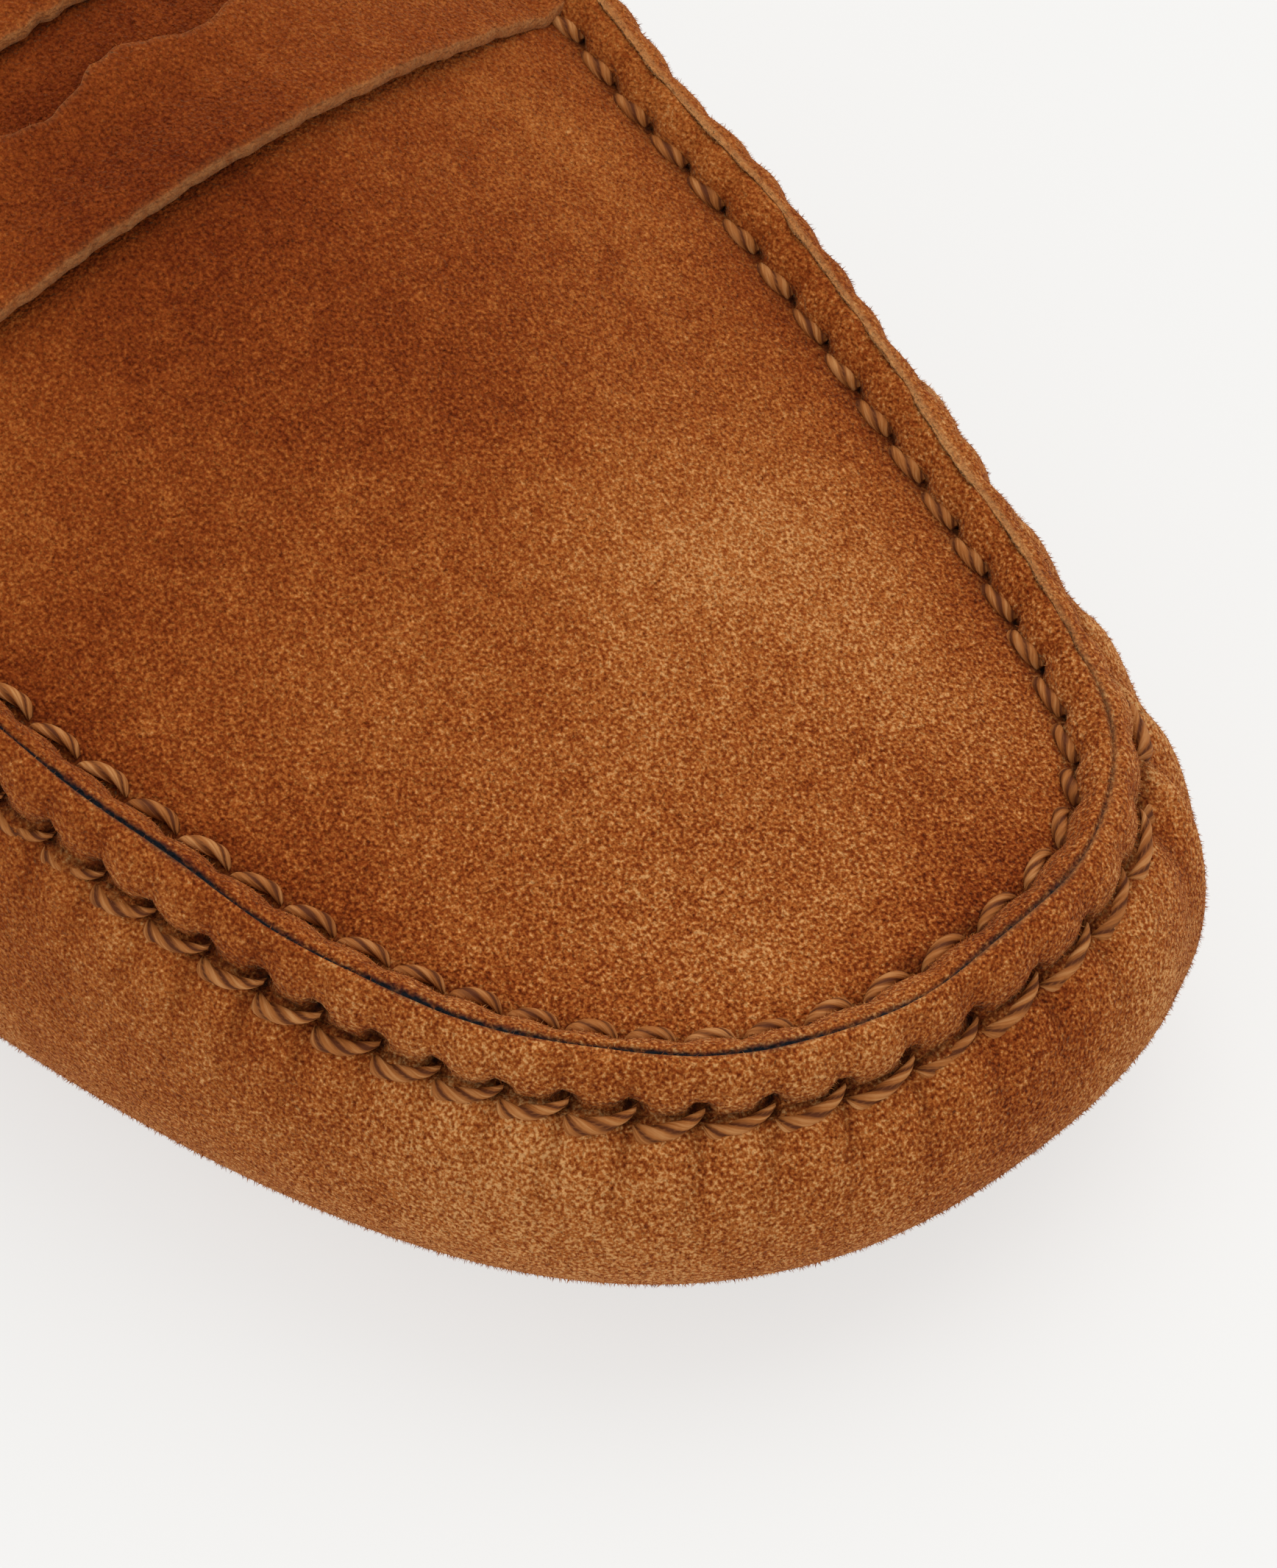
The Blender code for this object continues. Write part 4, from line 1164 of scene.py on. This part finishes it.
# On the inner side the gathered wall pulls the outer row tight into the seam.
outer_fats = 1.0 - 0.5 * smooth_step((holes[:-1] - 0.026) / 0.014)
inner_fats = np.ones(len(holes) - 1)
outer_stitches = lay_thread(
    "outer_stitches", outer_thread, *places_between(outer_foot, outer_facing, holes), outer_fats, 1.0, 3
)
inner_stitches = lay_thread(
    "inner_stitches", inner_thread, *places_between(inner_foot, inner_facing, holes - 0.0015), inner_fats, 1.0, 7
)
for piece in (outer_thread, inner_thread):
    bpy.data.objects.remove(piece, do_unlink=True)
for piece in (outer_stitches, inner_stitches):
    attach(piece, "root")

# %% [markdown]
# ## The strap
# The strap is cut from the same suede and has raw edges. Its front edge stands a little off
# the apron in the middle and casts a soft shadow, and its ends are caught in the seam. The
# slit's front lip is waved.

# %% Strap
STRAP_SET_BACK = 0.0937
STRAP_WIDTH = 0.032
STRAP_THICKNESS = 0.0013
STRAP_BOW = 0.0030
STRAP_LIFT = 0.0008
STRAP_CATCH = 0.0008
SLIT_LENGTH = 0.046
SLIT_WIDTH = 0.0065
SLIT_SCALLOP = 0.0022
STRAP_TONE = -0.04
FRONT_COLUMNS = 22
REAR_COLUMNS = 16


def strap_front(share):
    """x of the strap's front edge at a share of its way across, from the outer end to the inner end."""
    bow = STRAP_BOW * (1.0 - (2.0 * share - 0.75) ** 2)
    fray = 0.00012 * math.sin(37.0 * share + 0.6) * math.sin(83.0 * share) + 0.00005 * math.sin(211.0 * share)
    return LENGTH - STRAP_SET_BACK + bow + fray + SHIFT_X


def slit_edge(reach, rear):
    """How far behind the strap's front edge the slit's edge lies, at a reach of -1 to 1 along it."""
    middle = STRAP_WIDTH / 2.0
    half = SLIT_WIDTH / 2.0 * math.sqrt(max(1.0 - abs(reach) ** 3, 0.0))
    fray = 0.00015 * math.sin(47.0 * reach) * (1.0 - reach * reach)
    if rear:
        return middle + half + fray
    scallops = SLIT_SCALLOP * math.sin(1.5 * math.pi * reach) ** 2 * (1.0 - reach * reach)
    return middle - half - scallops + fray


def strap_point(share, column, lift):
    """A point of the strap at a share of its way across and of its width."""
    x = strap_front(share) - column * STRAP_WIDTH
    outer_y, inner_y = edge_at(-1, x)[0] - STRAP_CATCH, edge_at(1, x)[0] + STRAP_CATCH + CAUGHT
    y = outer_y + share * (inner_y - outer_y)
    arch = math.sin(math.pi * share)
    rise = STRAP_LIFT * arch + 0.0011 * math.exp(-((column / 0.16) ** 2)) * arch**0.7
    rise += 0.0006 * math.exp(-(((column - 0.36) / 0.10) ** 2)) * arch**3
    rise += 0.0004 * math.exp(-(((column - 0.22) / 0.10) ** 2)) * math.sin(9.0 * share + 0.5)
    return (x, y, float(apron_height(x, y)) + PIECE_GAP + lift + rise)


strap_middle = strap_front(0.5) - STRAP_WIDTH / 2.0
strap_across = float(edge_at(1, strap_middle)[0] - edge_at(-1, strap_middle)[0])
half_slit = SLIT_LENGTH / strap_across / 2.0
shell = Shell()
side_shares = np.linspace(0.0, 0.5 - half_slit, 30)
slit_shares = 0.5 - half_slit * np.cos(np.linspace(0.0, math.pi, 90))
strap_shares = np.concatenate([side_shares, slit_shares[1:-1], 1.0 - side_shares[::-1]])
EDGE_TURN = ((0.0, 1.00), (0.10, 0.90), (0.14, 0.50), (0.10, 0.10), (0.0, 0.00))


def strap_loop(share, first, last, columns, merged):
    """A closed loop of points round one half of the strap's section. merged ends are plain."""
    span = last - first
    inner = first + span * np.linspace(0.0, 1.0, columns + 1)
    turn = STRAP_THICKNESS / STRAP_WIDTH
    above = [strap_point(share, c, STRAP_THICKNESS) for c in inner]
    below = [strap_point(share, c, 0.0) for c in inner]
    ends = []
    for column, sign in ((last, 1.0), (first, -1.0)):
        steps = EDGE_TURN[1:-1] if sign > 0 else EDGE_TURN[-2:0:-1]
        bulge = 0.0 if merged == sign else 1.0
        ends.append([strap_point(share, column + sign * a * turn * bulge, b * STRAP_THICKNESS) for a, b in steps])
    points = above + ends[0] + below[::-1] + ends[1]
    raw = [0.1] + [0.0] * (columns - 1) + [0.1] + [0.45] * 3 + [0.2] + [0.0] * (columns - 1) + [0.2] + [0.45] * 3
    nap = [1.0] * (columns + 1) + [0.0] * 3 + [0.0] * (columns + 1) + [0.0] * 3
    tone = tone_at(np.array(points)) + STRAP_TONE
    return shell.row(points, raw=np.array(raw), nap=np.array(nap), tone=tone)


for part, columns in (("front", FRONT_COLUMNS), ("rear", REAR_COLUMNS)):
    loops = []
    for share in strap_shares:
        reach = (share - 0.5) / half_slit
        opened = abs(reach) < 1.0
        if part == "front":
            cut = slit_edge(reach, False) / STRAP_WIDTH if opened else 0.5
            loops.append(strap_loop(share, 0.0, cut, columns, 0.0 if opened else 1.0))
        else:
            cut = slit_edge(reach, True) / STRAP_WIDTH if opened else 0.5
            loops.append(strap_loop(share, cut, 1.0, columns, 0.0 if opened else -1.0))
    for loop, ahead in zip(loops, loops[1:]):
        shell.bridge(loop, ahead, 0, closed=True)
    shell.face(loops[0], 0)
    shell.face(loops[-1], 0)
strap = shell.finish("suede_strap", [suede_tan])
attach(strap, "root")
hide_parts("strap")

# %% [markdown]
# ## Sole, heel and insole
# These are hidden in the photograph and are finished plainly: a thin rubber outsole, a low
# heel lift and a leather insole.


# %% Rubber
def rubber(name, colour):
    """Moulded rubber with a little dust in it."""
    made = bpy.data.materials.new(name)
    made.use_nodes = True
    tree = made.node_tree
    shader = tree.nodes["Principled BSDF"]
    spot_node = node(tree, "ShaderNodeTexCoord").outputs["Object"]
    grain = node(tree, "ShaderNodeTexNoise", {"Vector": spot_node, "Scale": 900.0, "Detail": 4.0})
    bump = node(tree, "ShaderNodeBump", {"Height": grain.outputs["Fac"], "Strength": 0.3, "Distance": 0.0003})
    tree.links.new(bump.outputs[0], shader.inputs["Normal"])
    shader.inputs["Base Color"].default_value = linear(colour)
    shader.inputs["Roughness"].default_value = 0.72
    return made


sole_rubber = rubber("sole_rubber", "#5a3a22")


def inner_wall_inset(spot, height):
    """Inset of the upper's inner face at a height above the floor, below the widest line."""
    insets, heights = np.array(wall_section(spot, WALL_THICKNESS, ARC_ROWS, 1)[1 : ARC_ROWS + 2]).T
    return float(np.interp(height, heights, insets))


def plate(name, material, insets, heights, rounding, end=None, columns=24):
    """A plate of the last's outline, with the edges of its lower and upper faces rounded."""
    work = Shell()
    last = LAST_GIRTH if end is None else end
    girths = np.concatenate([np.linspace(0.0, 1.0, 12)[:-1], np.linspace(1.0, last, 110)])
    levels = []
    ladder = [(0, 3.0 * rounding, 0.0), (0, rounding, 0.0), (0, 0.3 * rounding, 0.3 * rounding), (0, 0.0, rounding)]
    ladder += [(1, 0.0, rounding), (1, 0.3 * rounding, 0.3 * rounding), (1, rounding, 0.0), (1, 3.0 * rounding, 0.0)]
    for level, inward, step in ladder:
        rims = {}
        for side in (-1, 1):
            rims[side] = []
            for girth in girths:
                spot = place(girth, side)
                x, y, _ = inset_point(spot, insets[level](spot) + inward, 0.0)
                z = heights[level](x - SHIFT_X) + (step if level == 0 else -step)
                rims[side].append((x, y, z))
        levels.append(rims)
    loops = []
    for rims in levels:
        ring = rims[-1] + (rims[1][::-1] if end is not None else rims[1][-2::-1])
        ring = ring[:-1]
        loops.append(work.row(ring))
    for loop, ahead in zip(loops, loops[1:]):
        work.bridge(loop, ahead, 0, closed=True)
    for loop, level in ((loops[0], 0), (loops[-1], 1)):
        count = len(loop)
        half_count = count // 2
        chords = []
        for i in range(1, half_count + (0 if count % 2 == 0 else 1)):
            left, right = loop[i], loop[-i]
            if left == right:
                break
            start, stop = np.array(work.points[left]), np.array(work.points[right])
            shares = np.arange(1, columns) / columns
            middle = start + shares[:, None] * (stop - start)
            middle[:, 2] = [heights[level](x - SHIFT_X) for x in middle[:, 0]]
            chords.append([left, *work.row(middle), right])
        for chord, ahead in zip(chords, chords[1:]):
            work.bridge(chord, ahead, 0)
        for i in range(columns):
            work.face((loop[0], chords[0][i], chords[0][i + 1]), 0)
        if count % 2 == 0:
            tip = loop[half_count]
            for i in range(columns):
                work.face((chords[-1][i], chords[-1][i + 1], tip), 0)
    return work.finish(name, [material], sharp=50)


sole_inset = lambda spot: spot.tuck + OUTSOLE_SET_BACK
outsole = plate(
    "rubber_outsole",
    sole_rubber,
    (sole_inset, sole_inset),
    (sole_underside, lambda along: sole_underside(along) + OUTSOLE_THICKNESS),
    0.0005,
)
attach(outsole, "root")
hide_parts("outsole")
sock_low = lambda along: feather_height(along) + WALL_THICKNESS + PIECE_GAP
sock_high = lambda along: sock_low(along) + INSOLE_THICKNESS
insole = plate(
    "leather_insole",
    lining_calf,
    (
        lambda spot: spot.tuck + PIECE_GAP,
        lambda spot: inner_wall_inset(spot, sock_high(spot.along)) + 4.0 * PIECE_GAP,
    ),
    (sock_low, sock_high),
    0.0004,
)
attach(insole, "root")
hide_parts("insole")
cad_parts["heel"].data.materials.clear()
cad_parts["heel"].data.materials.append(sole_rubber)

# %% [markdown]
# ## Nap
# The nap's longest fibres catch the light one by one and break up the outline. Each one is a
# single narrow triangle. They are strewn over the front half of the shoe, lean mostly
# toward the toe, and take the colour of the suede that they grow from.

# %% Nap
NAP_DENSITY = 7.0e6
NAP_LENGTH = 0.00036
NAP_WIDTH = 0.00008


def nap_tree(name, blade, seed):
    """Geometry Nodes that strew blades over a surface where its nap attribute is not 0."""
    tree = bpy.data.node_groups.new(name, "GeometryNodeTree")
    tree.interface.new_socket("Geometry", in_out="INPUT", socket_type="NodeSocketGeometry")
    tree.interface.new_socket("Density", in_out="INPUT", socket_type="NodeSocketFloat")
    tree.interface.new_socket("Length", in_out="INPUT", socket_type="NodeSocketFloat")
    tree.interface.new_socket("Geometry", in_out="OUTPUT", socket_type="NodeSocketGeometry")
    start = node(tree, "NodeGroupInput")
    nap = node(tree, "GeometryNodeInputNamedAttribute", {"Name": "nap"}, data_type="FLOAT")
    thick = node(tree, "ShaderNodeMath", {0: nap.outputs["Attribute"], 1: start.outputs["Density"]}, operation="MULTIPLY")
    strewn = node(
        tree,
        "GeometryNodeDistributePointsOnFaces",
        {"Mesh": start.outputs["Geometry"], "Density": thick.outputs[0], "Seed": seed},
        distribute_method="RANDOM",
    )
    lean = node(tree, "FunctionNodeRandomValue", {0: (-0.9, -0.9, -0.6), 1: (1.5, 0.9, 0.3), "Seed": seed + 1}, data_type="FLOAT_VECTOR")
    aimed = node(tree, "ShaderNodeVectorMath", {0: strewn.outputs["Normal"], 1: (0.75, 0.75, 0.75), 2: lean.outputs[0]}, operation="MULTIPLY_ADD")
    turn = node(tree, "FunctionNodeAlignRotationToVector", {"Vector": aimed.outputs[0]}, axis="Z")
    spin = node(tree, "FunctionNodeRandomValue", {0: (0.0, 0.0, 0.0), 1: (0.0, 0.0, 6.283), "Seed": seed + 2}, data_type="FLOAT_VECTOR")
    turn = node(tree, "FunctionNodeRotateRotation", {"Rotation": turn.outputs[0], "Rotate By": spin.outputs[0]}, rotation_space="LOCAL")
    long = node(tree, "FunctionNodeRandomValue", {2: 0.5, 3: 1.25, "Seed": seed + 3}, data_type="FLOAT")
    long = node(tree, "ShaderNodeMath", {0: long.outputs[1], 1: start.outputs["Length"]}, operation="MULTIPLY")
    laid = node(
        tree,
        "GeometryNodeInstanceOnPoints",
        {"Points": strewn.outputs["Points"], "Rotation": turn.outputs[0], "Scale": long.outputs[0]},
    )
    source = node(tree, "GeometryNodeObjectInfo", {"Object": blade}, transform_space="ORIGINAL")
    tree.links.new(source.outputs["Geometry"], laid.inputs["Instance"])
    fibre = node(tree, "FunctionNodeRandomValue", {2: -1.0, 3: 1.2, "Seed": seed + 4}, data_type="FLOAT")
    kept = node(
        tree,
        "GeometryNodeStoreNamedAttribute",
        {"Geometry": laid.outputs[0], "Name": "fibre", "Value": fibre.outputs[1]},
        data_type="FLOAT",
        domain="INSTANCE",
    )
    real = node(tree, "GeometryNodeRealizeInstances", {"Geometry": kept.outputs[0]})
    dressed = node(tree, "GeometryNodeSetMaterial", {"Geometry": real.outputs[0], "Material": suede_tan})
    node(tree, "NodeGroupOutput", {"Geometry": dressed.outputs[0]})
    return tree


blade_mesh = bpy.data.meshes.new("blade")
wide = NAP_WIDTH / NAP_LENGTH / 2.0
blade_mesh.from_pydata([(-wide, 0.0, -0.1), (wide, 0.0, -0.1), (0.0, 0.25, 1.0)], [], [(0, 1, 2)])
blade = bpy.data.objects.new("blade", blade_mesh)
bpy.context.scene.collection.objects.link(blade)
for source, name, seed in ((upper, "upper_nap", 11), (strap, "strap_nap", 17)):
    settings = {"Density": NAP_DENSITY, "Length": NAP_LENGTH}
    nap_piece = grown(name, source, nap_tree(name + "_tree", blade, seed), settings)
    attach(nap_piece, "root")
bpy.data.objects.remove(blade, do_unlink=True)

# %% [markdown]
# ## Floor and light
# The photograph was taken on a light table: the floor glows as well as being lit, so that
# the shoe's shadow is faint and its lower edge is bright. The room is white, with one wide
# lamp overhead, a little behind the shoe and to its inner side, and a weaker one on the
# camera's side.

# %% Floor and light
FLOOR_SIZE = 6.0
FLOOR_GLOW = 0.68
floor_mesh = bpy.data.meshes.new("floor")
half_floor = FLOOR_SIZE / 2.0
corners = [(-half_floor, -half_floor, 0), (half_floor, -half_floor, 0), (half_floor, half_floor, 0), (-half_floor, half_floor, 0)]
floor_mesh.from_pydata(corners, [], [(0, 1, 2, 3)])
floor = bpy.data.objects.new("floor", floor_mesh)
bpy.context.scene.collection.objects.link(floor)
paper = bpy.data.materials.new("light_table")
paper.use_nodes = True
paper_shader = paper.node_tree.nodes["Principled BSDF"]
paper_shader.inputs["Base Color"].default_value = (0.24, 0.24, 0.237, 1.0)
paper_shader.inputs["Roughness"].default_value = 1.0
paper_shader.inputs["Specular IOR Level"].default_value = 0.0
paper_shader.inputs["Emission Color"].default_value = (1.0, 1.0, 0.988, 1.0)
paper_shader.inputs["Emission Strength"].default_value = FLOOR_GLOW
floor_mesh.materials.append(paper)

world = bpy.data.worlds.new("studio")
bpy.context.scene.world = world
world.use_nodes = True
world.node_tree.nodes["Background"].inputs["Color"].default_value = linear("#ffffff")
world.node_tree.nodes["Background"].inputs["Strength"].default_value = 0.62
Lamp = namedtuple("Lamp", "name strength spread azimuth elevation colour")
for lamp in (
    Lamp("key", 1.15, 60, 200, 62, "#fffaf4"),
    Lamp("fill", 0.45, 90, 30, 45, "#ffffff"),
):
    light = bpy.data.lights.new(lamp.name, "SUN")
    light.energy = lamp.strength
    light.angle = math.radians(lamp.spread)
    light.color = linear(lamp.colour)[:3]
    holder = bpy.data.objects.new(lamp.name, light)
    bpy.context.scene.collection.objects.link(holder)
    turn, rise = math.radians(lamp.azimuth), math.radians(lamp.elevation)
    to_lamp = Vector((math.sin(turn) * math.cos(rise), -math.cos(turn) * math.cos(rise), math.sin(rise)))
    holder.rotation_euler = to_lamp.to_track_quat("Z", "Y").to_euler()
print("light set")
